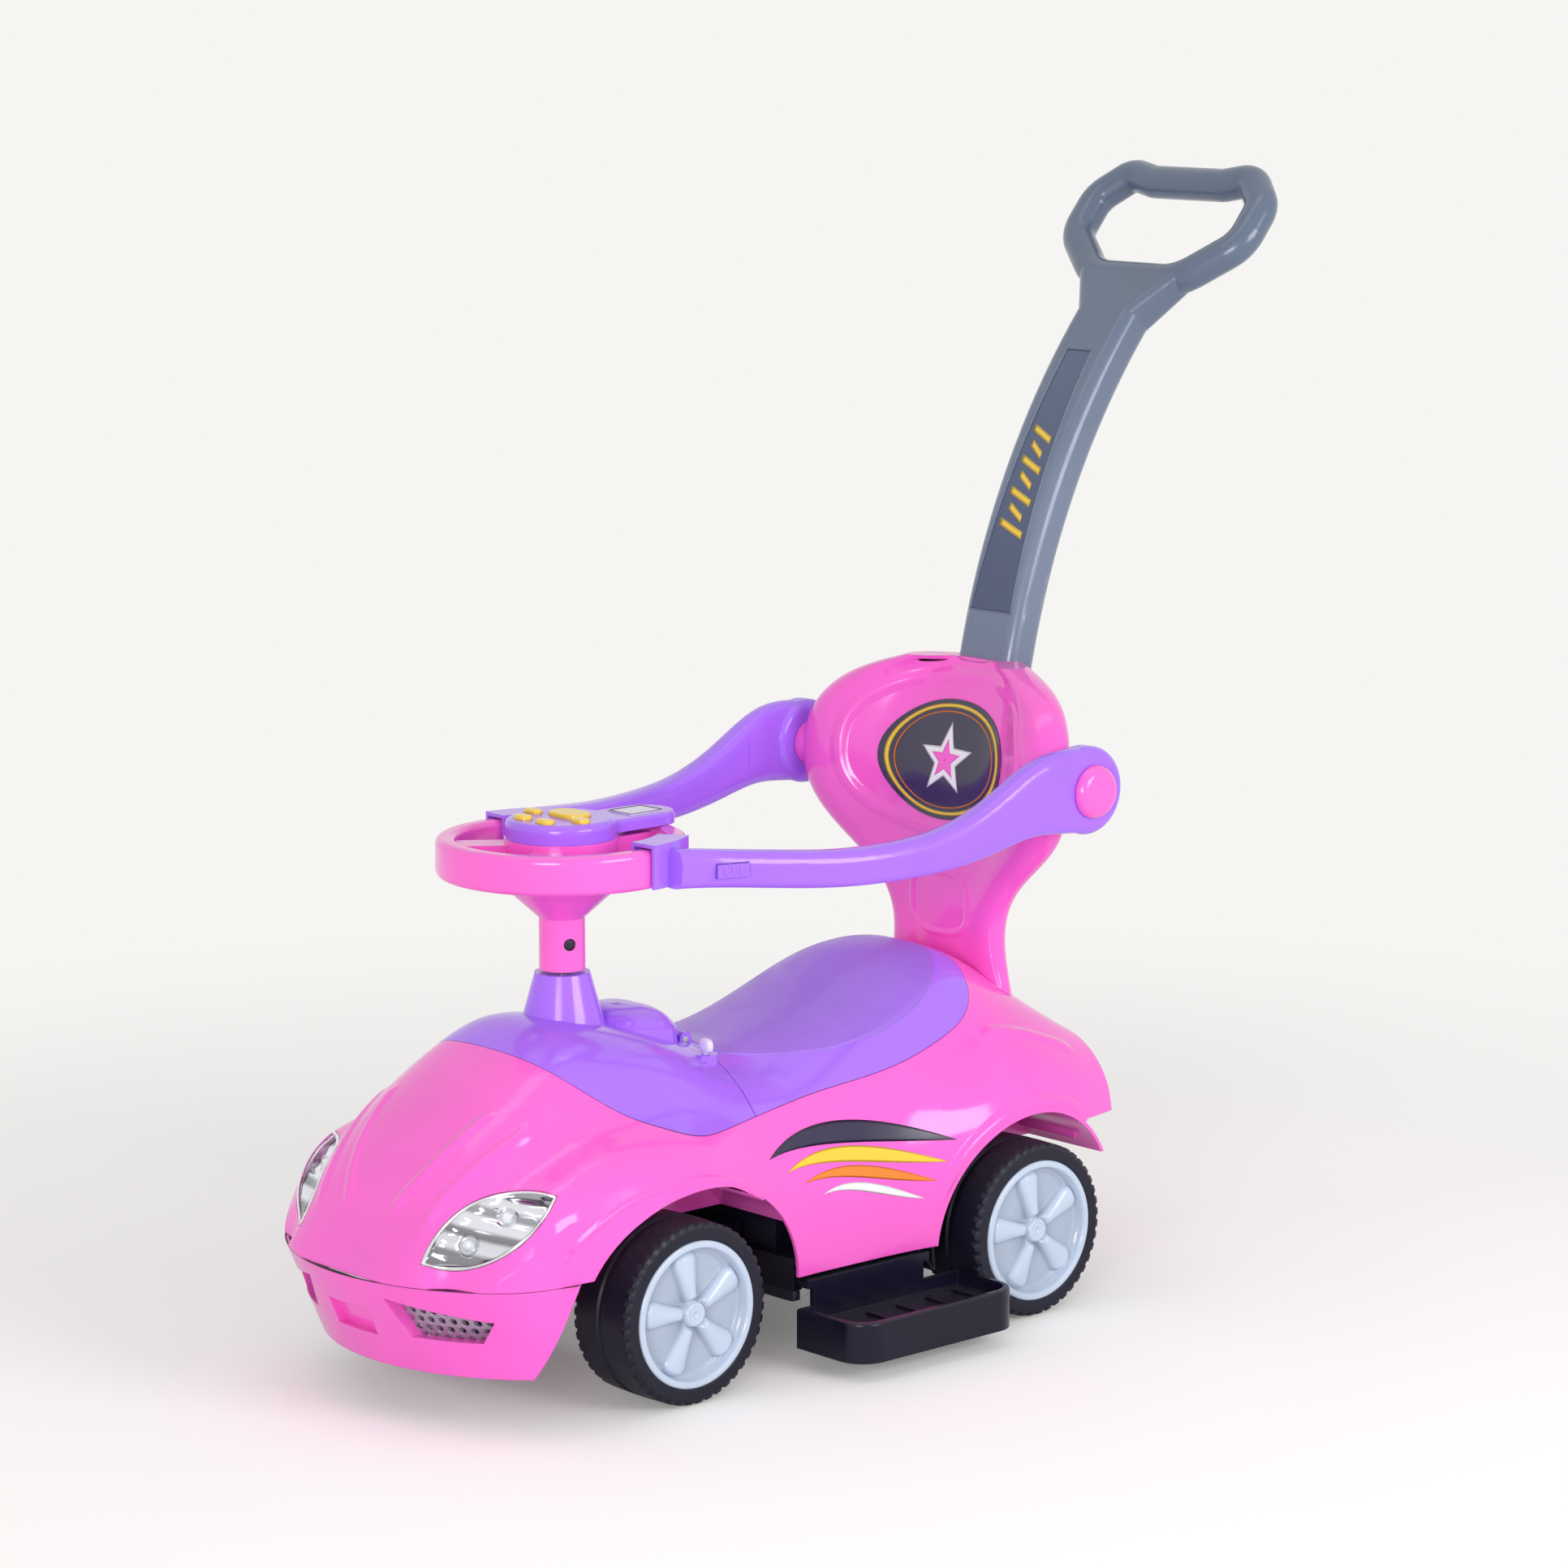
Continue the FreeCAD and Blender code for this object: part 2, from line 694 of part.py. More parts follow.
def cowl():
    shell = skin.common(above_parting(seam_gap)).common(block(-reach, reach, nose_y, seam_y - hinge_gap,
                                                              0, reach))
    cone_height = cone_top - cone_base_z
    cone = Part.makeCone(cone_base_radius, cone_top_radius, cone_height, V(0, front_axle_y, cone_base_z))
    hollow = Part.makeCone(cone_base_radius - cone_wall, cone_top_radius - cone_wall,
                           cone_height - cone_wall,
                           V(0, front_axle_y, cone_base_z))
    hump_rear = front_axle_y + hump_centre_back + hump_rear_share * hump_radius_y
    keep = block(-reach, reach, nose_y, hump_rear, cone_base_z - wall, reach)
    plug = block(-reach, reach, hump_rear - wall, hump_rear, cone_base_z - wall, reach).common(hump(0))
    dash = hump(0).cut(hump(wall)).common(keep)
    socket = Part.makeCylinder(key_socket_diameter / 2, key_stem_length - wall - key_fit,
                               key_place() - V(0, 0, key_stem_length - wall), up)
    shell = shell.fuse([cone.cut(hollow), dash, plug, socket])
    shell = shell.cut(hinge_rod(hinge_radius + hinge_gap, -hinge_third - hinge_gap,
                                hinge_third + hinge_gap))
    shell = shell.fuse([hinge_rod(hinge_radius, hinge_third + hinge_gap, 3 * hinge_third),
                        hinge_rod(hinge_radius, -3 * hinge_third, -hinge_third - hinge_gap)])
    tube_room = column_hole + column_tube_wall + seam_gap
    bores = [Part.makeCylinder(column_hole, cone_top, V(0, front_axle_y, 0), up), key_stem(key_fit),
             Part.makeCylinder(tube_room, bush_bottom, V(0, front_axle_y, 0), up),
             hinge_rod(hinge_pin_diameter / 2, -half_width, half_width)]
    return shell.cut(bores)


def key_place():
    return V(key_x, front_axle_y + key_back, key_top)


def key_stem(grow):
    place = key_place() - V(0, 0, key_stem_length)
    return Part.makeCylinder(key_stem_diameter / 2 + grow, key_stem_length + grow, place, up)


def key():
    place = key_place()
    bow = block(-key_bow_length / 2, key_bow_length / 2, -key_bow_width / 2, key_bow_width / 2, 0,
                key_bow_height)
    bow = bow.makeFillet(key_bow_width / 3, [e for e in bow.Edges if e.Length > key_bow_width])
    bow.translate(place)
    foot = Part.makeCylinder(key_stem_diameter, wall - key_fit, place - V(0, 0, key_stem_length), up)
    return bow.fuse([key_stem(0), foot])


def seat():
    shell = skin.common(above_parting(seam_gap)).common(block(-reach, reach, seam_y + hinge_gap, tail_y,
                                                              0, reach))
    for side in (1, -1):
        x0, x1 = sorted((side * hinge_third, side * (3 * hinge_third + hinge_gap)))
        shell = shell.cut(hinge_rod(hinge_radius + hinge_gap, x0, x1))
    shell = shell.fuse(hinge_rod(hinge_radius, -hinge_third, hinge_third))
    return shell.cut(hinge_rod(hinge_pin_diameter / 2 + hinge_fit, -half_width, half_width))


# Wheels, with the axle along X and the outer side towards +X
def tyre():
    radius = tyre_diameter / 2
    half = tyre_width / 2
    body = Part.makeCylinder(radius, tyre_width, V(-half, 0, 0), across)
    body = body.makeFillet(tyre_shoulder, [e for e in body.Edges if len(e.Vertexes) == 1])
    inner = radius - tyre_wall
    outside = Part.makeCylinder(inner, half - tyre_web / 2, V(tyre_web / 2, 0, 0), across)
    inside = Part.makeCylinder(inner, half - tyre_web / 2, V(-half, 0, 0), across)
    groove = ring(radius, radius - tyre_groove_depth, tyre_groove_width, V(-tyre_groove_width / 2, 0, 0),
                  across)
    notches = []
    for side in (1, -1):
        notch = block(-tyre_notch_length / 2, tyre_notch_length / 2, -tyre_notch_width / 2,
                      tyre_notch_width / 2,
                      radius - tyre_notch_depth - tyre_shoulder * notch_drop_share, radius)
        notch.translate(V(side * (half - tyre_shoulder * notch_drop_share), 0, 0))
        for index in range(tyre_notch_count):
            turned = notch.copy()
            turned.rotate(V(0, 0, 0), across, math.degrees(2 * math.pi * index / tyre_notch_count))
            notches.append(turned)
    body = body.cut([outside, inside, groove]).cut(Part.makeCompound(notches))
    hub = Part.makeCylinder(hub_diameter / 2, half + hub_recess, V(-half, 0, 0), across)
    bore = Part.makeCylinder(axle_radius + axle_fit, tyre_width, V(-half, 0, 0), across)
    return body.fuse(hub).cut(bore)


def hubcap():
    radius = tyre_diameter / 2 - tyre_wall
    base_x = tyre_width / 2 - hubcap_rim_height - hubcap_thickness
    face_x = base_x + hubcap_thickness
    disc = Part.makeCylinder(radius, hubcap_thickness, V(base_x, 0, 0), across)
    rim = ring(radius, radius - hubcap_rim_width, hubcap_rim_height, V(face_x, 0, 0), across)
    rim = rim.makeChamfer(hubcap_rim_width / 3,
                          [e for e in rim.Edges if e.BoundBox.XMin > tyre_width / 2 - seam_gap])
    boss = Part.makeCone(hubcap_boss_diameter / 2, hubcap_boss_diameter / 2 - hubcap_dimple_depth / 2,
                         hubcap_boss_height, V(face_x, 0, 0), across)
    dimple = Part.makeCone(0, hubcap_dimple_diameter / 2, hubcap_dimple_depth,
                           V(face_x + hubcap_boss_height - hubcap_dimple_depth, 0, 0), across)
    petals = []
    ball = Part.makeSphere(petal_length / 2)
    matrix = FreeCAD.Matrix()
    matrix.scale(2 * petal_height / petal_length, petal_width / petal_length, 1)
    ball = ball.transformGeometry(matrix)
    ball.translate(V(face_x, 0, radius * petal_centre_share))
    ball = ball.common(block(base_x, reach, -radius, radius, -radius, radius))
    for index in range(petal_count):
        petal = ball.copy()
        petal.rotate(V(0, 0, 0), across, math.degrees(2 * math.pi * index / petal_count))
        petals.append(petal)
    return disc.fuse([rim, boss] + petals).cut(dimple)


def at_wheel(shape, side, axle_y):
    placed = shape.copy() if side > 0 else mirrored(shape)
    placed.translate(V(side * wheel_x, axle_y, axle_z))
    return placed


axle_end = wheel_x + hub_recess + push_nut_thickness + axle_tip
hub_start = wheel_x - tyre_width / 2 - hub_gap


def push_nut(side, axle_y):
    start = wheel_x + hub_recess + axle_fit
    nut = ring(push_nut_diameter / 2, axle_radius, push_nut_thickness, V(start, axle_y, axle_z), across)
    return nut if side > 0 else mirrored(nut)


def rear_axle():
    return Part.makeCylinder(axle_radius, 2 * axle_end, V(-axle_end, rear_axle_y, axle_z), across)


# Steering
knuckle_top = beam_bottom - knuckle_gap
knuckle_bottom = knuckle_top - knuckle_height
tie_top = beam_bottom - shaft_diameter / 2 - 2 * shaft_bend_radius - 2 * knuckle_gap
tie_bottom = tie_top - tie_rod_thickness
tie_y = front_axle_y + steer_arm
kingpin_start = axle_z + axle_radius + knuckle_gap
pin_bottom = tie_bottom - knuckle_gap


def knuckle():
    barrel = Part.makeCylinder(knuckle_diameter / 2, knuckle_height,
                               V(kingpin_x, front_axle_y, knuckle_bottom))
    arm = block(kingpin_x - steer_arm_width / 2, kingpin_x + steer_arm_width / 2, front_axle_y, tie_y,
                tie_top + knuckle_gap, tie_top + knuckle_gap + steer_arm_thickness)
    eye = Part.makeCylinder(steer_arm_width / 2, steer_arm_thickness,
                            V(kingpin_x, tie_y, tie_top + knuckle_gap))
    pin = Part.makeCylinder(tie_pin_diameter / 2, tie_top + knuckle_gap - pin_bottom,
                            V(kingpin_x, tie_y, pin_bottom))
    shoulder = Part.makeCylinder(hub_shoulder_diameter / 2, hub_start - kingpin_x,
                                 V(kingpin_x, front_axle_y, axle_z), across)
    body = barrel.fuse([arm, eye, pin, shoulder])
    return body.cut([stub_axle(), kingpin()])


def stub_axle():
    start = kingpin_x - knuckle_diameter / 2
    return Part.makeCylinder(axle_radius, axle_end - start, V(start, front_axle_y, axle_z), across)


def kingpin():
    top = beam_bottom + beam_thickness + knuckle_gap
    pin = Part.makeCylinder(kingpin_diameter / 2, top - kingpin_start,
                            V(kingpin_x, front_axle_y, kingpin_start))
    head = Part.makeCylinder(kingpin_head_diameter / 2, kingpin_head_height,
                             V(kingpin_x, front_axle_y, top))
    return pin.fuse(head)


def tie_rod():
    bar = block(-kingpin_x, kingpin_x, tie_y - tie_rod_width / 2, tie_y + tie_rod_width / 2, tie_bottom,
                tie_top)
    eyes = [Part.makeCylinder(tie_eye_diameter / 2, tie_rod_thickness, V(x, tie_y, tie_bottom))
            for x in (-kingpin_x, 0, kingpin_x)]
    radii = [tie_pin_diameter / 2, shaft_diameter / 2, tie_pin_diameter / 2]
    holes = [Part.makeCylinder(r + axle_fit, tie_rod_thickness, V(x, tie_y, tie_bottom))
             for x, r in zip((-kingpin_x, 0, kingpin_x), radii)]
    return bar.fuse(eyes).cut(holes)


def steering_shaft():
    """A bent rod: down the column, back along the crank, down into the tie rod."""
    level = beam_bottom - shaft_diameter / 2 - shaft_bend_radius - knuckle_gap
    bend = shaft_bend_radius
    corner = bend * (1 - math.sqrt(2) / 2)
    p = [V(0, front_axle_y, hub_floor_z), V(0, front_axle_y, level + bend),
         V(0, front_axle_y + corner, level + corner),
         V(0, front_axle_y + bend, level), V(0, tie_y - bend, level),
         V(0, tie_y - corner, level - corner),
         V(0, tie_y, level - bend), V(0, tie_y, pin_bottom)]
    path = Part.Wire([Part.makeLine(p[0], p[1]), Part.Arc(p[1], p[2], p[3]).toShape(),
                      Part.makeLine(p[3], p[4]),
                      Part.Arc(p[4], p[5], p[6]).toShape(), Part.makeLine(p[6], p[7])])
    section = Part.Wire(Part.Circle(p[0], up, shaft_diameter / 2).toShape())
    return path.makePipeShell([section], True, False)


def column_bush():
    tube = Part.makeCylinder(column_hole, bush_length + cone_wall, V(0, front_axle_y, bush_bottom))
    flange = Part.makeCylinder(column_hole + bush_flange_width, bush_flange,
                               V(0, front_axle_y, bush_bottom + bush_length - bush_flange))
    bore = Part.makeCylinder(shaft_diameter / 2 + axle_fit, cone_top, V(0, front_axle_y, bush_bottom))
    return tube.fuse(flange).cut(bore)


# Steering wheel and horn module, about the column's axis
def turned(profile):
    points = [V(r, front_axle_y, z) for r, z in profile]
    face = Part.Face(Part.makePolygon(points + points[:1]))
    return face.revolve(V(0, front_axle_y, 0), up, math.degrees(2 * math.pi))


hub_floor_z = dish_floor + dish_floor_thickness


def steering_wheel():
    bore = shaft_diameter / 2
    sleeve = sleeve_diameter / 2
    inner = hub_cup_radius - hub_cup_wall
    hub = turned([(bore, sleeve_bottom), (sleeve, sleeve_bottom), (sleeve, dish_neck_height),
                  (hub_cup_radius, dish_floor),
                  (hub_cup_radius, hub_cup_top), (inner, hub_cup_top), (inner, hub_floor_z),
                  (bore, hub_floor_z)])
    rim_in = rim_outer_radius - rim_width
    rim = turned([(rim_in, rim_bottom), (rim_outer_radius, rim_bottom),
                  (rim_outer_radius, rim_bottom + rim_height),
                  (rim_in, rim_bottom + rim_height)])
    rim = rim.makeFillet(rim_round, rim.Edges)
    spokes = []
    for angle in spoke_angles:
        spoke = block(hub_cup_radius - hub_cup_wall / 2, rim_in + rim_width / 2, -spoke_width / 2,
                      spoke_width / 2,
                      rim_bottom + rim_round, rim_bottom + rim_height - spoke_top_drop)
        spoke.rotate(V(0, 0, 0), up, angle)
        spoke.translate(V(0, front_axle_y, 0))
        spokes.append(spoke)
    return hub.fuse([rim] + spokes).cut(column_screw())


def column_screw():
    """The screw that holds the sleeve to its rod, on the side that faces forward and left."""
    turn = math.radians(column_screw_angle)
    aim = V(math.cos(turn), math.sin(turn), 0)
    axis = V(0, front_axle_y, column_screw_z)
    head_start = sleeve_diameter / 2 - column_screw_sink - screw_head_height
    stem = Part.makeCylinder(column_screw_diameter / 2, head_start - shaft_diameter / 2,
                             axis + aim * (shaft_diameter / 2), aim)
    head = Part.makeCylinder(column_screw_head / 2, screw_head_height, axis + aim * head_start, aim)
    return stem.fuse(head)


def screw_well():
    turn = math.radians(column_screw_angle)
    aim = V(math.cos(turn), math.sin(turn), 0)
    axis = V(0, front_axle_y, column_screw_z)
    start = sleeve_diameter / 2 - column_screw_sink
    return Part.makeCylinder(column_screw_head / 2, 2 * column_screw_sink, axis + aim * start, aim)


horn_top = horn_bottom + horn_height


def oval(length, width, x, y, z, height):
    """A button's oblong, rounded at both ends, along X."""
    run = (length - width) / 2
    ends = [Part.makeCylinder(width / 2, height, V(x + side * run, y, z)) for side in (1, -1)]
    return ends[0].fuse([ends[1], block(x - run, x + run, y - width / 2, y + width / 2, z,
                                        z + height)]).removeSplitter()


def button_places():
    places = [(big_button_length, big_button_width, 0, front_axle_y + big_button_back)]
    for x, y in zip(small_button_x_shares, small_button_y_shares):
        places.append((small_button_length, small_button_width, x * horn_radius,
                       front_axle_y + y * horn_radius))
    return places


def horn_button(place):
    length, width, x, y = place
    under = horn_top - horn_wall
    cap = oval(length, width, x, y, under - horn_button_flange,
               horn_wall + horn_button_flange + horn_button_rise)
    crown = [e for e in cap.Edges if e.BoundBox.ZMin > horn_top + horn_button_rise / 2]
    cap = cap.makeFillet(horn_button_rise / 2, crown)
    foot = 2 * horn_button_flange
    flange = oval(length + foot, width + foot, x, y, under - horn_button_flange - axle_fit,
                  horn_button_flange)
    stem = Part.makeCylinder(width / 4, horn_button_foot,
                             V(x, y, under - horn_button_flange - horn_button_foot))
    return cap.fuse([flange, stem])


def tail_block(inset, bottom):
    """The horn module's tail towards the seat, rounded at its end."""
    half = horn_tail_width / 2 - inset
    top = horn_bottom + horn_tail_rise + horn_tail_height - inset
    end = horn_tail_end - half - inset
    bar = block(-half, half, front_axle_y, front_axle_y + end, bottom, top)
    nose = Part.makeCylinder(half, top - bottom, V(0, front_axle_y + end, bottom))
    return bar.fuse(nose).removeSplitter()


def label():
    y = front_axle_y + horn_tail_end - label_end - label_length
    top = horn_bottom + horn_tail_rise + horn_tail_height
    return block(-label_width / 2, label_width / 2, y, y + label_length,
                 top + label_rise - label_thickness, top + label_rise)


def horn_housing():
    disc = Part.makeCylinder(horn_radius, horn_height, V(0, front_axle_y, horn_bottom))
    disc = disc.makeFillet(horn_round, [e for e in disc.Edges
                                        if e.BoundBox.ZMin > horn_bottom + horn_height / 2])
    tail = tail_block(0, horn_bottom + horn_tail_rise)
    tail = tail.makeFillet(horn_wall, [e for e in tail.Edges
                                       if e.BoundBox.ZMin > horn_top - horn_height / 2])
    hollow = Part.makeCylinder(horn_radius - horn_wall, horn_height - horn_wall,
                               V(0, front_axle_y, horn_bottom))
    body = disc.fuse(tail).cut(hollow)
    cuts = [label()]
    for length, width, x, y in button_places():
        grow = 2 * horn_button_fit
        cuts.append(oval(length + grow, width + grow, x, y, horn_bottom, 2 * horn_height))
    return body.cut(cuts)


board_top = horn_top - horn_wall - horn_button_flange - horn_button_foot - horn_button_travel - axle_fit


def circuit_board():
    return Part.makeCylinder(horn_radius - horn_wall, board_thickness,
                             V(0, front_axle_y, board_top - board_thickness))


def speaker():
    bottom = board_top - board_thickness - speaker_height
    return Part.makeCylinder(speaker_radius, speaker_height,
                             V(0, front_axle_y - speaker_forward, bottom))


def cells():
    z = board_top - board_thickness - cell_diameter / 2
    return [Part.makeCylinder(cell_diameter / 2, cell_length,
                              V(-cell_length / 2, front_axle_y + cell_back + n * cell_diameter, z),
                              across)
            for n in (0, 1)]


# Chassis, storage tub and footrests
floor_front = front_arch_y + front_arch_length / 2 + wall + seam_gap
floor_rear = rear_axle_y - rear_arch_radius - wall - seam_gap


def chassis():
    floor_top = floor_height + floor_thickness
    floor = block(-reach, reach, floor_front, floor_rear, floor_height, floor_top).common(inner_form)
    half = spine_width / 2
    front = block(-half, half, front_axle_y - beam_width, floor_front, beam_bottom,
                  beam_bottom + spine_thickness)
    front_wall = block(-half, half, floor_front, floor_front + floor_thickness, floor_height,
                       beam_bottom + spine_thickness)
    rear = block(-half, half, floor_rear, rear_axle_y + carrier_length, beam_bottom,
                 beam_bottom + spine_thickness)
    rear_wall = block(-half, half, floor_rear - floor_thickness, floor_rear, floor_height,
                      beam_bottom + spine_thickness)
    beam = block(-kingpin_x, kingpin_x, front_axle_y - beam_width / 2, front_axle_y + beam_width / 2,
                 beam_bottom,
                 beam_bottom + beam_thickness)
    ends = [Part.makeCylinder(beam_width / 2, beam_thickness, V(x, front_axle_y, beam_bottom))
            for x in (-kingpin_x, kingpin_x)]
    carriers = both_sides(block(half - carrier_thickness, half, rear_axle_y - carrier_length / 2,
                                rear_axle_y + carrier_length / 2,
                                axle_z - axle_radius - carrier_margin, beam_bottom))
    rails = []
    for y, lip in ((floor_front, rail_lip), (floor_rear - rail_thickness, -rail_lip)):
        low = floor_height - rail_depth
        web = block(0, floor_width / 2, y, y + rail_thickness, low, floor_height)
        y0, y1 = sorted((y + (rail_thickness if lip < 0 else 0),
                         y + lip + (rail_thickness if lip > 0 else 0)))
        rails += both_sides(web) + both_sides(block(0, floor_width / 2, y0, y1, low,
                                                    low + rail_thickness))
    spacers = both_sides(Part.makeCylinder(hub_shoulder_diameter / 2, hub_start - half,
                                           V(half, rear_axle_y, axle_z), across))
    tube = Part.makeCylinder(column_hole + column_tube_wall, bush_bottom - beam_bottom,
                             V(0, front_axle_y, beam_bottom))
    body = floor.fuse([front, front_wall, rear, rear_wall, beam,
                       tube] + ends + carriers + rails + spacers)
    bores = [Part.makeCylinder(shaft_diameter / 2 + axle_fit, reach, V(0, front_axle_y, 0))]
    bores += [Part.makeCylinder(kingpin_diameter / 2 + axle_fit, reach, V(x, front_axle_y, 0))
              for x in (-kingpin_x, kingpin_x)]
    return body.cut(bores).cut(rear_axle())


def storage_tub():
    bottom = floor_height + floor_thickness
    front = floor_front + floor_thickness + tub_gap
    rear = floor_rear - floor_thickness - tub_gap
    half = tub_width / 2
    outer = block(-half, half, front, rear, bottom, bottom + tub_height)
    inner = block(tub_wall - half, half - tub_wall, front + tub_wall, rear - tub_wall, bottom + tub_wall,
                  bottom + tub_height)
    return outer.cut(inner)


def rounded_tray(inset, bottom, top):
    y0, y1 = front_axle_y + footrest_front + inset, rear_axle_y - footrest_rear - inset
    tray = block(footrest_inner_x + inset, footrest_outer_x - inset, y0, y1, bottom, top)
    corners = [e for e in tray.Edges if e.BoundBox.XMin > footrest_outer_x - inset
               - seam_gap and e.BoundBox.ZLength > seam_gap]
    return tray.makeFillet(footrest_round - inset, corners)


def footrest():
    top = footrest_bottom + footrest_height
    tray = rounded_tray(0, footrest_bottom, top)
    tray = tray.makeFillet(footrest_wall / 2, [e for e in tray.Edges
                                               if e.BoundBox.ZMin > top - seam_gap])
    tray = tray.cut(rounded_tray(footrest_wall, top - footrest_recess, top + footrest_wall))
    tray = tray.cut(rounded_tray(footrest_wall, 0, top - footrest_recess - footrest_floor))
    y0, y1 = front_axle_y + footrest_front + footrest_round, rear_axle_y - footrest_rear - footrest_round
    pitch = (y1 - y0) / (footrest_bar_count - 1)
    bars = [block(footrest_inner_x + footrest_round, footrest_outer_x - footrest_round,
                  y0 + n * pitch - footrest_bar_width / 2,
                  y0 + n * pitch + footrest_bar_width / 2, top - footrest_recess - footrest_floor / 2,
                  top - footrest_recess + footrest_bar_height) for n in range(footrest_bar_count)]
    tongue_front = floor_front + rail_thickness + slide_gap
    tongue_rear = floor_rear - rail_thickness - slide_gap
    low = floor_height - rail_depth + rail_thickness + slide_gap
    tongue = block(footrest_inner_x - tongue_length, footrest_inner_x + footrest_wall, tongue_front,
                   tongue_rear, low,
                   low + tongue_thickness)
    post = block(footrest_inner_x, footrest_inner_x + footrest_wall, tongue_front + rail_lip,
                 tongue_rear - rail_lip,
                 footrest_bottom, low + tongue_thickness)
    ledge = block(footrest_inner_x, footrest_inner_x + footrest_wall, tongue_front, tongue_rear, low,
                  footrest_back_height)
    clear = Part.makeCylinder(axle_z + footrest_wheel_gap, wheel_x + tyre_width / 2 + footrest_wheel_gap,
                              V(0, rear_axle_y, axle_z), across)
    return tray.fuse(bars + [tongue, post, ledge]).cut(clear)


# Backrest
pivot_y = rear_axle_y + pivot_back
backrest_front_y = rear_axle_y + backrest_front_back


def backrest_level(row, inset):
    level, wide, hollow, side, rear = row
    z = backrest_base + level * (backrest_height - backrest_base)
    w = wide * backrest_half_width - inset
    middle, flank, end = [backrest_front_y + share * backrest_depth for share in (hollow, side, rear)]
    middle, flank, end = middle + inset, flank + inset, end - inset
    half = [V(0, middle, z)]
    half.append(V(w * backrest_hollow_shares[0], middle + backrest_hollow_shares[1] * (flank - middle),
                  z))
    half += [V(w * x, flank + y * (end - flank), z) for x, y in backrest_side_shares]
    half.append(V(0, end, z))
    return twin_loop(half)


def backrest_form(inset):
    rows = [list(row) for row in backrest_level_shares]
    rows[-1][0] -= inset / (backrest_height - backrest_base)
    return Part.makeLoft([backrest_level(row, inset) for row in rows], True, False)


def ahead_of_split(shift):
    """Everything in front of the leaning plane that parts the backrest's halves."""
    low = backrest_front_y + backrest_split_base_share * backrest_depth + shift
    high = backrest_front_y + backrest_split_top_share * backrest_depth + shift
    rise = backrest_height - backrest_base
    corners = [V(-reach, low - (high - low), backrest_base - rise),
               V(-reach, high + (high - low), backrest_height + rise),
               V(-reach, -reach, backrest_height + rise), V(-reach, -reach, backrest_base - rise)]
    return Part.Face(Part.makePolygon(corners + corners[:1])).extrude(V(2 * reach, 0, 0))


lean = math.radians(handle_lean_angle)
lean_top = math.radians(handle_top_angle)
handle_base = V(0, rear_axle_y + handle_base_back, handle_base_z)
handle_aim = V(0, math.sin(lean), math.cos(lean))
handle_bend = handle_base + V(0, math.cos(lean), -math.sin(lean)) * handle_curve_radius
grip_aim = V(0, math.sin(lean_top), math.cos(lean_top))
grip_base = handle_bend + V(0, -math.cos(lean_top), math.sin(lean_top)) * handle_curve_radius


def oblong(width, depth, corner, place, angle):
    """A rounded rectangle across the handle, leaning back by the angle."""
    plate = block(-width / 2, width / 2, -depth / 2, depth / 2, 0, corner)
    plate = plate.makeFillet(corner, [e for e in plate.Edges if e.BoundBox.ZLength > corner / 2])
    face = [f for f in plate.Faces if f.BoundBox.ZMax < corner / 2][0]
    wire = Part.Wire(face.OuterWire)
    wire.rotate(V(0, 0, 0), across, -angle)
    wire.translate(place)
    return wire


def handle_stem(grow, start, length):
    wire = oblong(handle_width + 2 * grow, handle_depth + 2 * grow, handle_round + grow, start,
                  handle_lean_angle)
    return Part.Face(wire).extrude(handle_aim * length)


def socket_tower(grow):
    """The sleeve that takes the handle's foot, its mouth sloping down to the rear."""
    start = handle_base - handle_aim * (handle_insert + socket_floor + grow)
    tower = handle_stem(socket_wall + grow, start, handle_insert + socket_floor + grow)
    mouth = handle_base_z - socket_below + grow
    front, rear = handle_base.y - handle_depth, handle_base.y + handle_depth
    over = [V(-reach, front, mouth), V(-reach, rear, mouth - socket_rear_drop), V(-reach, rear, reach),
            V(-reach, front, reach)]
    return tower.cut(Part.Face(Part.makePolygon(over + over[:1])).extrude(V(2 * reach, 0, 0)))


def backrest_halves():
    solid = backrest_form(0)
    hollow = backrest_form(wall)
    shell = solid.cut(hollow).cut(outer_form)
    front = shell.common(ahead_of_split(0))
    bosses = both_sides(Part.makeCylinder(pivot_boss_diameter / 2, pivot_boss_length,
                                          V(arm_inner_x - arm_side_gap - pivot_boss_length, pivot_y,
                                            pivot_z), across))
    stem = handle_stem(handle_fit, handle_base - handle_aim * handle_insert, 2 * handle_insert)
    front = front.fuse(bosses).cut(both_sides(pivot_pin()) + [badge(), socket_tower(seam_gap), stem])
    rear = shell.cut(ahead_of_split(seam_gap)).cut(socket_tower(0)).fuse(socket_tower(0)).cut(stem)
    return front, rear


def badge():
    """An oval plate that follows the hollow of the backrest's front."""
    face = Part.Face(Part.Wire(Part.Ellipse(V(0, 0, 0), badge_width / 2, badge_height / 2).toShape()))
    face.rotate(V(0, 0, 0), across, math.degrees(math.pi / 2))
    face.translate(V(0, backrest_front_y, badge_z))
    proud, sunk = backrest_form(0), backrest_form(0)
    proud.translate(V(0, -badge_rise, 0))
    sunk.translate(V(0, badge_sink, 0))
    return face.extrude(V(0, backrest_depth, 0)).common(proud).cut(sunk)


# Guard arms
arm_middle_x = arm_inner_x + arm_boss_thickness / 2
arm_run = pivot_y - front_axle_y


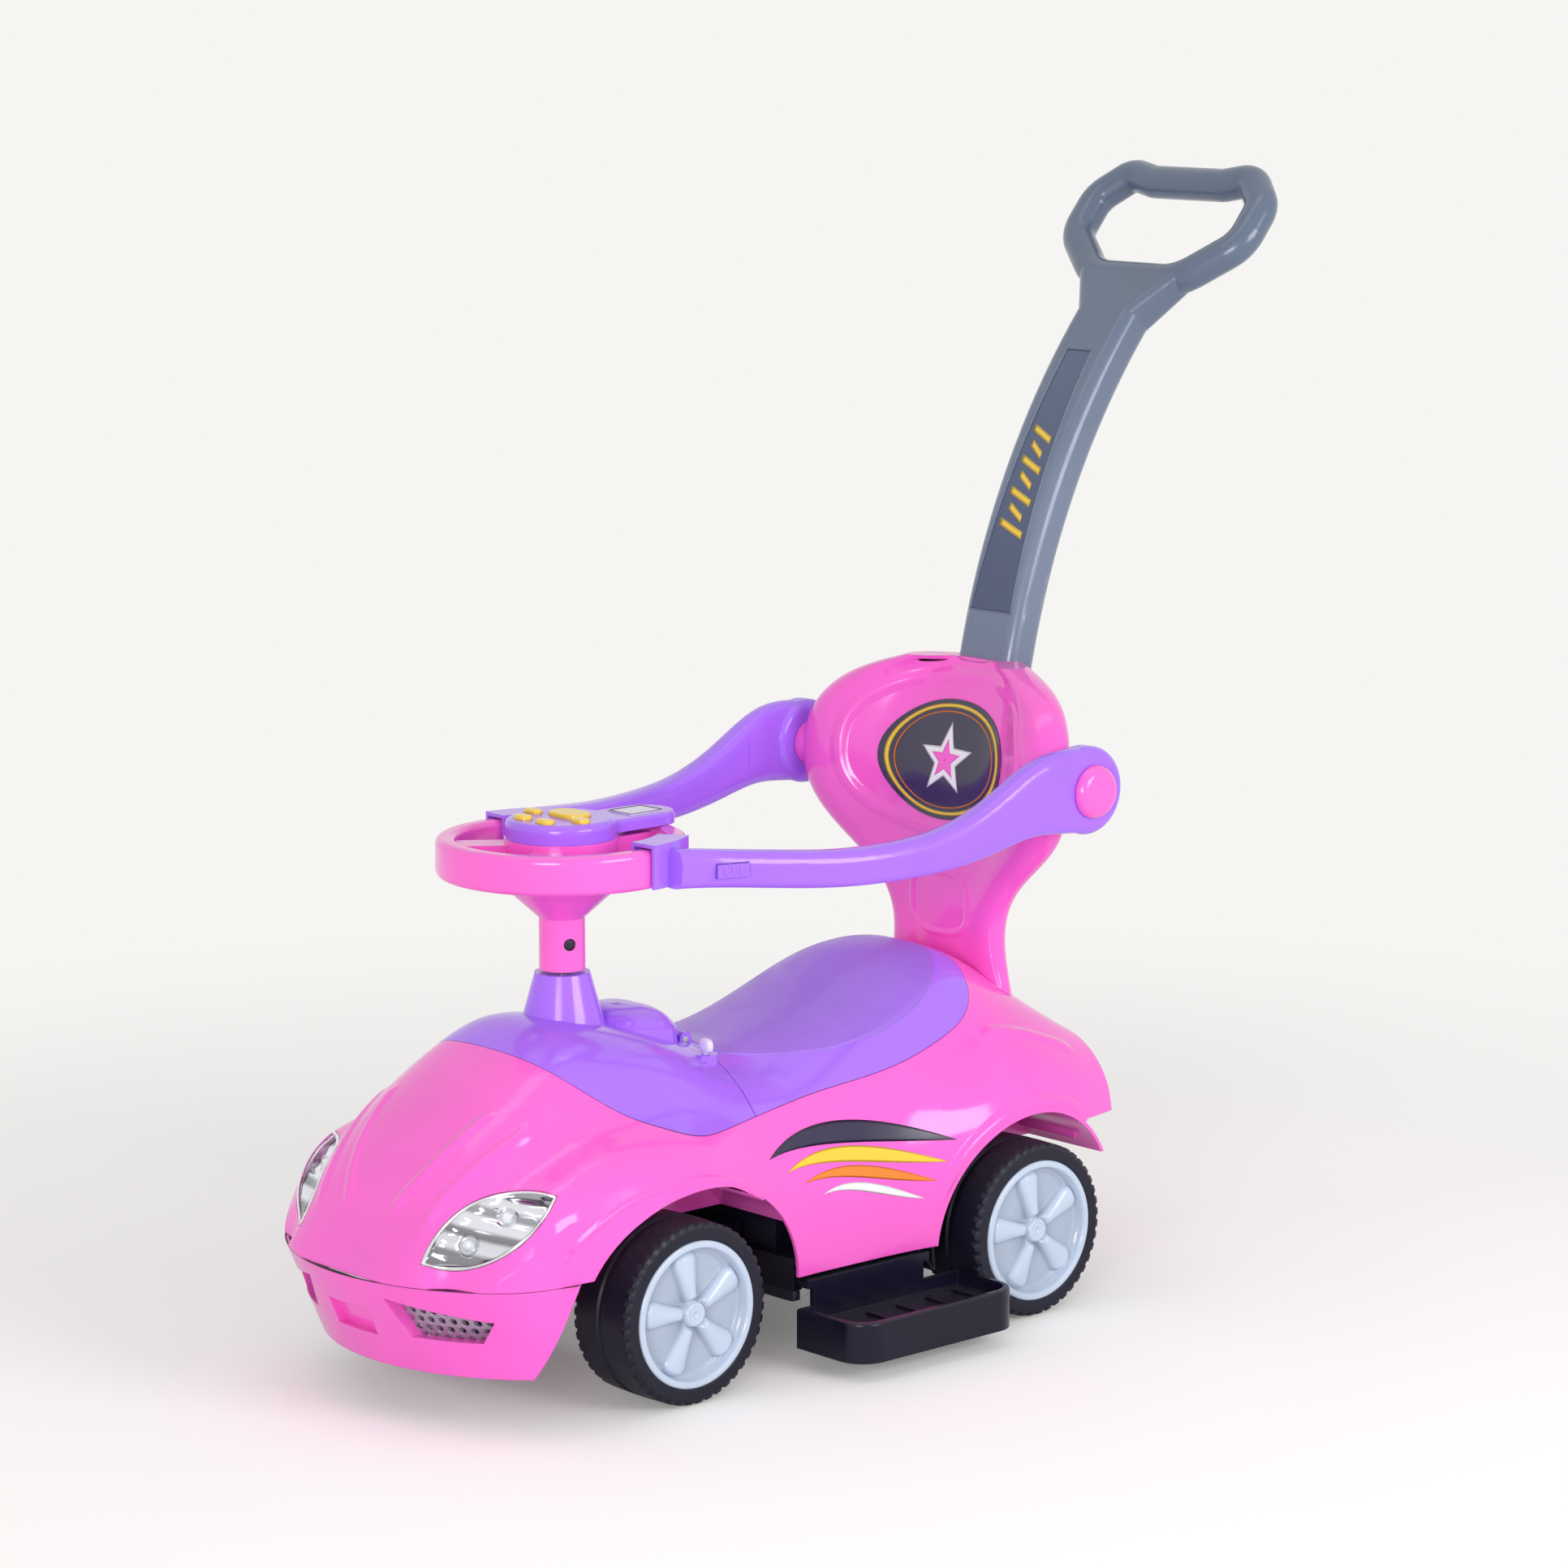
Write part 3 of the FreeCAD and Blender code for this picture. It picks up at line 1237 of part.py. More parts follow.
def pivot_pin():
    start = arm_inner_x - arm_side_gap - pivot_boss_length
    end = arm_inner_x + arm_boss_thickness + arm_side_gap
    stem = Part.makeCylinder(pivot_pin_diameter / 2, end - start, V(start, pivot_y, pivot_z), across)
    cap = Part.makeCylinder(pivot_cap_diameter / 2, pivot_cap_height, V(end, pivot_y, pivot_z), across)
    cap = cap.makeFillet(pivot_cap_height - pivot_fit,
                         [e for e in cap.Edges if e.BoundBox.XMin > end + pivot_cap_height / 2])
    return stem.fuse(cap)


def arm_place(row):
    t, out, drop, tall = row
    return V(arm_middle_x + out * rim_outer_radius, pivot_y - t * arm_run,
             pivot_z + drop * arm_boss_diameter), tall * arm_height


def arm_section(row):
    place, tall = arm_place(row)
    points = []
    for index in range(arm_section_points):
        turn = 2 * math.pi * index / arm_section_points
        c, s = math.cos(turn), math.sin(turn)
        x = math.copysign(abs(c) ** arm_square_share, c) * arm_width / 2
        z = math.copysign(abs(s) ** arm_square_share, s) * tall / 2
        points.append(place + V(x, 0, z))
    return Part.Wire(spline(points, True))


def sector(profile, start, sweep):
    points = [V(r, front_axle_y, z) for r, z in profile]
    face = Part.Face(Part.makePolygon(points + points[:1]))
    face.rotate(V(0, front_axle_y, 0), up, start)
    return face.revolve(V(0, front_axle_y, 0), up, sweep)


rim_top = rim_bottom + rim_height


def guard_arm():
    bar = Part.makeLoft([arm_section(row) for row in arm_station_shares], True, False)
    bar = bar.common(block(0, arm_inner_x + arm_boss_thickness, -reach, reach, 0, reach))
    bar = bar.cut(block(0, arm_inner_x, pivot_y - arm_boss_diameter, reach, 0, reach))
    boss = Part.makeCylinder(arm_boss_diameter / 2, arm_boss_thickness, V(arm_inner_x, pivot_y, pivot_z),
                             across)
    boss = boss.makeFillet(arm_boss_thickness / 3, [e for e in boss.Edges if len(e.Vertexes) == 1])
    r0 = rim_outer_radius - rim_width - saddle_gap - saddle_wall
    r1 = rim_outer_radius + saddle_gap + saddle_wall
    saddle = sector([(r0, saddle_bottom), (r1, saddle_bottom), (r1, rim_top + saddle_gap + saddle_wall),
                     (r0, rim_top + saddle_gap + saddle_wall)], saddle_start_angle, saddle_sweep)
    channel = turned([(r0 + saddle_wall, 0), (r1 - saddle_wall, 0),
                      (r1 - saddle_wall, rim_top + saddle_gap),
                      (r0 + saddle_wall, rim_top + saddle_gap)])
    bore = Part.makeCylinder(pivot_pin_diameter / 2 + pivot_fit, 2 * arm_boss_thickness,
                             V(arm_inner_x - arm_boss_thickness / 2, pivot_y, pivot_z), across)
    return bar.fuse([boss, saddle]).cut([channel, bore, latch_box(latch_fit, latch_travel + latch_fit)])


def latch_box(grow, deeper):
    x0 = -latch_depth - deeper
    plate = block(x0, latch_rise, -latch_length / 2 - grow, latch_length / 2 + grow,
                  -latch_height / 2 - grow,
                  latch_height / 2 + grow)
    plate.rotate(V(0, 0, 0), up, -latch_turn)
    place, tall = arm_place(arm_station_shares[latch_station])
    plate.translate(place + V(arm_width / 2, 0, 0))
    return plate


# Push handle
def rounded_loop(corners):
    """Straight runs joined by tangent arcs: corners are (point, radius)."""
    edges, marks = [], []
    count = len(corners)
    for index, (point, radius) in enumerate(corners):
        to_last = (corners[index - 1][0] - point).normalize()
        to_next = (corners[(index + 1) % count][0] - point).normalize()
        half = to_last.getAngle(to_next) / 2
        cut = radius / math.tan(half)
        middle = (to_last + to_next).normalize()
        top = point + middle * (radius / math.sin(half) - radius)
        marks.append((point + to_last * cut, top, point + to_next * cut))
    for index, (start, top, end) in enumerate(marks):
        edges.append(Part.Arc(start, top, end).toShape())
        edges.append(Part.makeLine(end, marks[(index + 1) % count][0]))
    return Part.Wire(edges)


def grip_ring():
    right = [(V(x * grip_half_width, 0, 0) + grip_base + grip_aim * (v * grip_length), r * grip_length)
             for x, v, r in grip_corner_shares]
    left = [(V(-p.x, p.y, p.z), r) for p, r in reversed(right)]
    path = rounded_loop(right + left)
    start = path.Edges[-1].valueAt(path.Edges[-1].FirstParameter)
    section = Part.Wire(Part.Circle(start, across, grip_tube_diameter / 2).toShape())
    return path.makePipeShell([section], True, False)


def handle_bow(width, depth, corner, turn_start, turn):
    """The handle's bent stretch, or a slice of it, turned about the bend's centre."""
    face = Part.Face(oblong(width, depth, corner, handle_base, handle_lean_angle))
    face.rotate(handle_bend, across, -turn_start)
    return face.revolve(handle_bend, across * -1, turn)


def panel_slice(grow, sink):
    bow = handle_top_angle - handle_lean_angle
    first, last = [share * bow for share in panel_span_shares]
    outer = handle_curve_radius + handle_depth / 2 - sink
    inner = handle_curve_radius + handle_depth / 2 - panel_sink - panel_thickness
    profile = []
    for radius in (outer, inner):
        profile.append(handle_bend + V(0, -math.cos(lean), math.sin(lean)) * radius)
    half = V(panel_bottom_width / 2 + grow, 0, 0)
    corners = [profile[0] - half, profile[0] + half, profile[1] + half, profile[1] - half]
    face = Part.Face(Part.makePolygon(corners + corners[:1]))
    spread = math.degrees(grow / handle_curve_radius)
    face.rotate(handle_bend, across, -first + spread)
    plate = face.revolve(handle_bend, across * -1, last - first + 2 * spread)
    levels = [handle_bend.z + handle_curve_radius * math.sin(lean + math.radians(turn))
              for turn in (first, last)]
    wide, narrow = panel_bottom_width / 2 + grow, panel_top_width / 2 + grow
    slope = (wide - narrow) / (levels[1] - levels[0])
    low, high = levels[0] - handle_depth, levels[1] + handle_depth
    trim = [V(-wide - slope * handle_depth, -reach, low), V(wide + slope * handle_depth, -reach, low),
            V(narrow - slope * handle_depth, -reach, high),
            V(slope * handle_depth - narrow, -reach, high)]
    return plate.common(Part.Face(Part.makePolygon(trim + trim[:1])).extrude(V(0, 2 * reach, 0)))


def handle():
    stem = handle_stem(0, handle_base - handle_aim * handle_insert, handle_insert)
    bow = handle_bow(handle_width, handle_depth, handle_round, 0, handle_top_angle - handle_lean_angle)
    bar = grip_base + grip_aim * (grip_corner_shares[0][1] * grip_length)
    flare = Part.makeLoft([oblong(handle_width, handle_depth, handle_round, grip_base, handle_top_angle),
                           oblong(grip_flare_width, grip_tube_diameter - seam_gap, handle_round, bar,
                                  handle_top_angle)], True, True)
    body = stem.fuse([bow, flare, grip_ring()])
    return body.cut(panel_slice(panel_fit, -handle_depth / 2))


def tub_screws():
    screws = []
    y_places = (floor_front + tub_screw_margin, floor_rear - tub_screw_margin)
    for x in (-tub_width / 2 + tub_screw_margin, tub_width / 2 - tub_screw_margin):
        for y in y_places:
            head = Part.makeCylinder(screw_head_diameter / 2, screw_head_height,
                                     V(x, y, floor_height - screw_head_height))
            stem = Part.makeCylinder(screw_diameter / 2, screw_length,
                                     V(x, y, floor_height - screw_head_height))
            screws.append(head.fuse(stem))
    return screws


def export():
    os.makedirs("parts", exist_ok=True)
    lens, bowl = lamps()
    front, rear = backrest_halves()
    screws = tub_screws()
    save("body_shell", body_shell())
    save("front_bumper", bumper())
    save("grilles", both_sides(grille()))
    save("headlight_lenses", both_sides(lens))
    save("headlight_bowls", both_sides(bowl))
    save("cowl", cowl())
    save("ignition_key", key())
    save("seat", seat())
    save("seat_hinge_pin", hinge_rod(hinge_pin_diameter / 2, -3 * hinge_third, 3 * hinge_third))
    save("chassis_pan", chassis().cut(screws))
    save("storage_tub", storage_tub().cut(screws))
    save("tub_screws", screws)
    save("rear_axle", rear_axle())
    save("rear_push_nuts", [push_nut(1, rear_axle_y), push_nut(-1, rear_axle_y)])
    save("backrest_front", front)
    save("backrest_rear", rear)
    save("backrest_badge", badge())
    save("column_bush", column_bush())
    save("steering_wheel", steering_wheel().cut(screw_well()))
    save("steering_shaft", steering_shaft())
    save("column_screw", column_screw())
    save("tie_rod", tie_rod())
    save("horn_housing", horn_housing())
    save("horn_label", label())
    save("horn_board", circuit_board())
    save("horn_speaker", speaker())
    save("horn_cells", cells())
    for name, place in zip(("horn_button", "tune_button_1", "tune_button_2", "tune_button_3",
                            "tune_button_4"), button_places()):
        save(name, horn_button(place))
    save("push_handle", handle())
    save("handle_panel", panel_slice(0, panel_sink))
    left = {"guard_arm": guard_arm(), "arm_latch": latch_box(0, 0), "pivot_pin": pivot_pin(),
            "footrest": footrest(),
            "knuckle": knuckle(), "kingpin": kingpin(), "stub_axle": stub_axle(),
            "front_push_nut": push_nut(1, front_axle_y)}
    for name, shape in left.items():
        save(name + "_left", shape)
        save(name + "_right", mirrored(shape))
    wheel, cap = tyre(), hubcap()
    for end, axle_y in (("front", front_axle_y), ("rear", rear_axle_y)):
        for side, sign in (("left", 1), ("right", -1)):
            save("tyre_" + end + "_" + side, at_wheel(wheel, sign, axle_y))
            save("hubcap_" + end + "_" + side, at_wheel(cap, sign, axle_y))


export()
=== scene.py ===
import math

import bpy
import numpy as np
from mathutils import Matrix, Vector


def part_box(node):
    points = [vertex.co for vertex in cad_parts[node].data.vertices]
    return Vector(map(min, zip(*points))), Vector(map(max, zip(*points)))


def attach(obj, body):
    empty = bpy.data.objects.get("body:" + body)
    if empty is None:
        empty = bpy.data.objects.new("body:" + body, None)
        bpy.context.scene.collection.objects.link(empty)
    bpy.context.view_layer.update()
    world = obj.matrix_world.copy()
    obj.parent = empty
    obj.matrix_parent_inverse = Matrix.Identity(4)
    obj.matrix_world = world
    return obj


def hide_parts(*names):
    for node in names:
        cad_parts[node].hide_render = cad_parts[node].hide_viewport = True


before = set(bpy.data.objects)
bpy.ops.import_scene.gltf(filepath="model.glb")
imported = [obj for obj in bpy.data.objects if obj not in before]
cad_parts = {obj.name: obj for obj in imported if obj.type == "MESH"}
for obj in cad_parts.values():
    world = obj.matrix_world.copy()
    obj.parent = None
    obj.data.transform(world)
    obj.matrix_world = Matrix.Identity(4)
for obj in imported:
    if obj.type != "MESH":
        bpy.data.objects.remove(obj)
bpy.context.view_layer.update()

bl_info = {
    "name": "Push car finish",
    "version": (1, 0, 0),
    "blender": (4, 5, 0),
    "location": "3D View > Sidebar > Push Car",
    "description": "Wheels, lamps, trim, finishes and stage for a push car with a handle",
    "category": "Object",
}

MM = 0.001
TURN = 2 * math.pi
QUARTER = math.pi / 2
SIDES = (("left", 1), ("right", -1))
WHEELS = [(end, side, sign) for end in ("front", "rear") for side, sign in SIDES]
TYRE_LOW, TYRE_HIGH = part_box("tyre_front_left")
TYRE_RADIUS = (TYRE_HIGH.z - TYRE_LOW.z) / 2
TYRE_WIDTH = TYRE_HIGH.x - TYRE_LOW.x
TYRE_MIDDLE = (TYRE_LOW.x + TYRE_HIGH.x) / 2
CAP_LOW, CAP_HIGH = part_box("hubcap_front_left")
CAP_RADIUS = (CAP_HIGH.z - CAP_LOW.z) / 2
REAR_AXLE = (113.85, 66.0)  # y and z in millimetres
LEAST_FACING = 0.25  # share of a face's normal that looks the wanted way
FORWARD, UP, ASIDE = (0, -1, 0), (0, 0, 1), (1, 0, 0)


def shade(name, default, description):
    """A colour as it is seen, stored gamma encoded."""
    return bpy.props.FloatVectorProperty(
        name=name, description=description, default=default, subtype="COLOR_GAMMA", size=3, min=0, max=1)


def length(name, default, description):
    """A size in metres."""
    return bpy.props.FloatProperty(
        name=name, description=description, default=default, min=0, unit="LENGTH", precision=4)


def amount(name, default, description):
    return bpy.props.FloatProperty(name=name, description=description, default=default, min=0)


def tally(name, default, description, low, high):
    return bpy.props.IntProperty(name=name, description=description, default=default, min=low, max=high)


class PushCarColours(bpy.types.PropertyGroup):
    body: shade("Body", (0.985, 0.390, 0.815), "Hot pink of the body, bumper, backrest and steering wheel")
    cowl: shade("Cowl", (0.665, 0.425, 0.970), "Purple of the cowl, arms and horn module")
    # The seat's purple is darker than the cowl's partly as painted shade on the seat's top; its matte finish
    # is its own.
    seat: shade("Seat", (0.620, 0.420, 0.880), "Softer purple of the seat")
    handle: shade("Handle", (0.430, 0.480, 0.570), "Grey blue of the push handle")
    panel: shade("Panel", (0.330, 0.375, 0.490), "Darker grey blue of the panel in the handle")
    hubcap: shade("Hubcap", (0.755, 0.810, 0.890), "Pale grey blue of the hubcaps")
    tyre: shade("Tyre", (0.110, 0.110, 0.190), "Blue black of the tyres")
    black: shade("Black", (0.108, 0.098, 0.190), "Black of the chassis and footrests")
    yellow: shade("Yellow", (0.960, 0.800, 0.220), "Yellow of the horn buttons and printed bars")
    orange: shade("Orange", (0.950, 0.520, 0.160), "Orange of the side stripes")
    navy: shade("Navy", (0.160, 0.130, 0.260), "Navy of the stripes, badge and outlines")
    pale: shade("Pale", (0.900, 0.860, 0.960), "Pale plastic of the key and label")
    floor: shade("Floor", (0.965, 0.961, 0.953), "Floor and backdrop")


class PushCarSizes(bpy.types.PropertyGroup):
    tyre_radius: length("Tyre radius", TYRE_RADIUS, "Radius of the tread")
    tyre_width: length("Tyre width", TYRE_WIDTH, "Width of a tyre")
    tyre_shoulder: length("Tyre shoulder", 4 * MM, "Rounding from the tread to the side of a tyre")
    notch_depth: length("Notch depth", 1.6 * MM, "Depth of the notches on a tyre's shoulders")
    notch_count: tally("Notches", 44, "Notches round each shoulder", 8, 120)
    cap_radius: length("Hubcap radius", CAP_RADIUS, "Radius of a hubcap")
    cap_rim: length("Hubcap rim", 5 * MM, "Width of the raised ring round a hubcap")
    spoke_height: length("Spoke height", 8.5 * MM, "Height of the rounded spokes over a hubcap's face")
    spoke_count: tally("Spokes", 5, "Rounded spokes on a hubcap", 3, 12)
    sticker: length("Sticker", 0.25 * MM, "Thickness of printed trim")


class PushCarStage(bpy.types.PropertyGroup):
    camera_place: bpy.props.FloatVectorProperty(
        name="Camera", description="Place of the camera", default=(2.6687, -2.43945, 1.0244),
        subtype="TRANSLATION", unit="LENGTH", size=3)
    camera_turn: bpy.props.FloatVectorProperty(
        name="Aim", description="Turn of the camera", subtype="EULER", unit="ROTATION", size=3,
        default=(math.radians(80.194), 0, math.radians(47.706)))
    lens: bpy.props.FloatProperty(
        name="Lens", description="Focal length in millimetres on a 36 mm sensor", default=113.47, min=1)
    floor_radius: length("Floor radius", 9.0, "Reach of the floor round the car")
    world: amount("World", 0.58, "Strength of the light from all round")
    key: amount("Key lamp", 34, "Power of the lamp beside the car, in watts")
    top: amount("Top lamp", 3, "Power of the strip lamp overhead, in watts")
    front: amount("Front lamp", 38, "Power of the lamp before the nose, in watts")


# Shader node groups and finishes
WHITE = (1.0, 1.0, 1.0, 1.0)
PLAIN_GREY = (0.8, 0.8, 0.8, 1)
DUST_GREY = (0.75, 0.72, 0.70, 1)
EDGE_ROUNDING = 1.2 * MM


def linear(colour):
    """Scene colour of a gamma encoded one, with full alpha."""
    c = np.asarray(colour, float)
    c = np.where(c <= 0.04045, c / 12.92, ((c + 0.055) / 1.055) ** 2.4)
    return (*c.tolist(), 1.0)


def darker(colour, share):
    return tuple(c * share for c in colour[:3]) + (1.0,)


def fill(made, inputs):
    """Gives each input of a node its value, or a link from another node's socket."""
    for label, given in inputs.items():
        if isinstance(given, bpy.types.NodeSocket):
            made.id_data.links.new(given, made.inputs[label])
        else:
            made.inputs[label].default_value = given


def node(tree, kind, place, inputs=None, **settings):
    made = tree.nodes.new(kind)
    made.location = place
    for key, value in settings.items():
        setattr(made, key, value)
    fill(made, inputs or {})
    return made


def object_coords(tree):
    return node(tree, "ShaderNodeTexCoord", (-1100, 0)).outputs["Object"]


def up_share(tree, vector, place):
    return node(tree, "ShaderNodeSeparateXYZ", place, {0: vector}).outputs["Z"]


def noise(tree, coords, scale, detail, place):
    inputs = {"Vector": coords, "Scale": scale, "Detail": detail}
    return node(tree, "ShaderNodeTexNoise", place, inputs).outputs["Fac"]


def spread(tree, value, low, high, to_low, to_high, place, **settings):
    """A value mapped from one range to another."""
    inputs = {"Value": value, "From Min": low, "From Max": high, "To Min": to_low, "To Max": to_high}
    return node(tree, "ShaderNodeMapRange", place, inputs, **settings).outputs["Result"]


def blend_colours(tree, share, first, second, place, way="MIX"):
    inputs = {0: share, 6: first, 7: second}
    return node(tree, "ShaderNodeMix", place, inputs, data_type="RGBA", blend_type=way).outputs[2]


def blend_shaders(tree, share, first, second, place):
    inputs = {0: share, 1: first.outputs[0], 2: second.outputs[0]}
    return node(tree, "ShaderNodeMixShader", place, inputs).outputs[0]


def reckon(tree, operation, first, second, place, **settings):
    inputs = {0: first, 1: second}
    return node(tree, "ShaderNodeMath", place, inputs, operation=operation, **settings).outputs[0]


def new_group(name, inputs, outputs):
    """An empty group and its inputs: a default of four numbers makes a colour, a single one a value."""
    tree = bpy.data.node_groups.new(name, "ShaderNodeTree")
    for label, default in inputs.items():
        kind = "NodeSocketColor" if isinstance(default, tuple) else "NodeSocketFloat"
        tree.interface.new_socket(label, in_out="INPUT", socket_type=kind).default_value = default
    for label in outputs:
        kind = "NodeSocketColor" if label == "Colour" else "NodeSocketFloat"
        tree.interface.new_socket(label, in_out="OUTPUT", socket_type=kind)
    return tree, node(tree, "NodeGroupInput", (-1100, -250)).outputs


def moulded_group():
    """Moulded plastic: broad clouds of tint, and a fine skin that varies roughness and height."""
    tree, given = new_group(
        "Moulded skin", {"Colour": PLAIN_GREY, "Flow Colour": PLAIN_GREY, "Flow Scale": 9.0,
                         "Grain Scale": 900.0, "Smooth": 0.2, "Rough": 0.3},
        ("Colour", "Roughness", "Height"))
    coords = object_coords(tree)
    flow = noise(tree, coords, given["Flow Scale"], 3.0, (-600, 200))
    share = spread(tree, flow, 0.38, 0.66, 0.0, 1.0, (-350, 200))
    patch = noise(tree, coords, 38.0, 4.0, (-600, -400))
    node(tree, "NodeGroupOutput", (700, 0), {
        "Colour": blend_colours(tree, share, given["Colour"], given["Flow Colour"], (-100, 200)),
        "Roughness": spread(tree, patch, 0.35, 0.68, given["Smooth"], given["Rough"], (-100, -150)),
        "Height": noise(tree, coords, given["Grain Scale"], 2.0, (-600, -150))})
    return tree


def handled_group():
    """Handling marks: fine scratches from stretched noise, and dust that settles on upward faces."""
    tree, given = new_group(
        "Handling marks", {"Colour": PLAIN_GREY, "Roughness": 0.3, "Dust Colour": DUST_GREY, "Dust": 0.06,
                           "Scratches": 0.06},
        ("Colour", "Roughness", "Scratch Height"))
    coords = object_coords(tree)
    stretched = node(tree, "ShaderNodeMapping", (-700, -300), {
        "Vector": coords, "Rotation": (0.5, 0.3, 0.9), "Scale": (6.0, 240.0, 160.0)}).outputs["Vector"]
    lines = noise(tree, stretched, 1.0, 2.0, (-500, -300))
    marks = spread(tree, lines, 0.66, 0.74, 0.0, given["Scratches"], (-250, -300))
    up = up_share(tree, node(tree, "ShaderNodeNewGeometry", (-900, 250)).outputs["Normal"], (-700, 250))
    settled = spread(tree, up, 0.35, 1.0, 0.0, given["Dust"], (-500, 250))
    film = reckon(tree, "MULTIPLY", settled, noise(tree, coords, 160.0, 6.0, (-500, 0)), (-250, 150))
    dusty = reckon(tree, "ADD", given["Roughness"], film, (0, -100))
    node(tree, "NodeGroupOutput", (700, 0), {
        "Colour": blend_colours(tree, film, given["Colour"], given["Dust Colour"], (0, 150)),
        "Roughness": reckon(tree, "ADD", dusty, marks, (250, -100), use_clamp=True),
        "Scratch Height": marks})
    return tree


def place_group(tree, name, make, place, inputs):
    made = bpy.data.node_groups.get(name) or make()
    return node(tree, "ShaderNodeGroup", place, inputs, node_tree=made).outputs


def new_material(name):
    made = bpy.data.materials.new(name)
    made.use_nodes = True
    return made, made.node_tree, made.node_tree.nodes["Principled BSDF"]


def moulded(name, colour, smooth=0.2, rough=0.3, flow=0.93, grain=900.0, depth=0.02, metal=0.0, coat=0.0,
            dust=0.05, scratches=0.05, specular=0.5, tint=None):
    """A moulded finish: the two groups feed one shader, with the grain and scratches as a bump
    on softened edges."""
    made, tree, shader = new_material(name + "_finish")
    made["finish"] = name
    skin = place_group(tree, "Moulded skin", moulded_group, (-700, 100), {
        "Colour": colour, "Flow Colour": darker(colour, flow), "Grain Scale": grain, "Smooth": smooth,
        "Rough": rough})
    base = tint(tree, skin["Colour"]) if tint else skin["Colour"]
    marks = place_group(tree, "Handling marks", handled_group, (-450, 100), {
        "Colour": base, "Roughness": skin["Roughness"], "Dust": dust, "Scratches": scratches})
    height = reckon(tree, "SUBTRACT", skin["Height"], marks["Scratch Height"], (-250, -250))
    soft = node(tree, "ShaderNodeBevel", (-250, -450), {"Radius": EDGE_ROUNDING}, samples=4)
    bump = node(tree, "ShaderNodeBump", (-50, -250), {
        "Strength": 1.0, "Distance": depth * MM, "Height": height, "Normal": soft.outputs["Normal"]})
    fill(shader, {
        "Base Color": marks["Colour"], "Roughness": marks["Roughness"], "Normal": bump.outputs["Normal"],
        "Metallic": metal, "Specular IOR Level": specular, "Coat Weight": coat, "Coat Roughness": 0.06})
    return made


def clear_lens():
    """Clear moulded plastic with a faint ripple."""
    made, tree, shader = new_material("lens_clear_finish")
    made["finish"] = "lens_clear"
    ripple = noise(tree, object_coords(tree), 90.0, 1.0, (-700, -200))
    bump = node(tree, "ShaderNodeBump", (-300, -200), {"Distance": 0.05 * MM, "Height": ripple})
    fill(shader, {
        "Base Color": (0.96, 0.97, 1.0, 1), "Transmission Weight": 1.0, "IOR": 1.05,
        "Roughness": spread(tree, ripple, 0.3, 0.7, 0.02, 0.06, (-500, 100)),
        "Normal": bump.outputs["Normal"]})
    return made


def fade_up(first, second, low, high):
    """A colour times a shade that runs from a first one to a second one between two heights."""
    def build(tree, base):
        up = up_share(tree, object_coords(tree), (-950, 400))
        share = spread(tree, up, low, high, 0.0, 1.0, (-750, 400))
        run = blend_colours(tree, share, first, second, (-600, 400))
        return blend_colours(tree, 1.0, base, run, (-520, 300), "MULTIPLY")
    return build


def toned(tree, base):
    """A colour darkened by the share stored on the piece's points: painted shade on the hubcaps, painted
    reflection bands on the reflectors.
    """
    tone = node(tree, "ShaderNodeAttribute", (-1000, 400), attribute_name="tone")
    return blend_colours(tree, 1.0, base, tone.outputs["Color"], (-520, 300), "MULTIPLY")


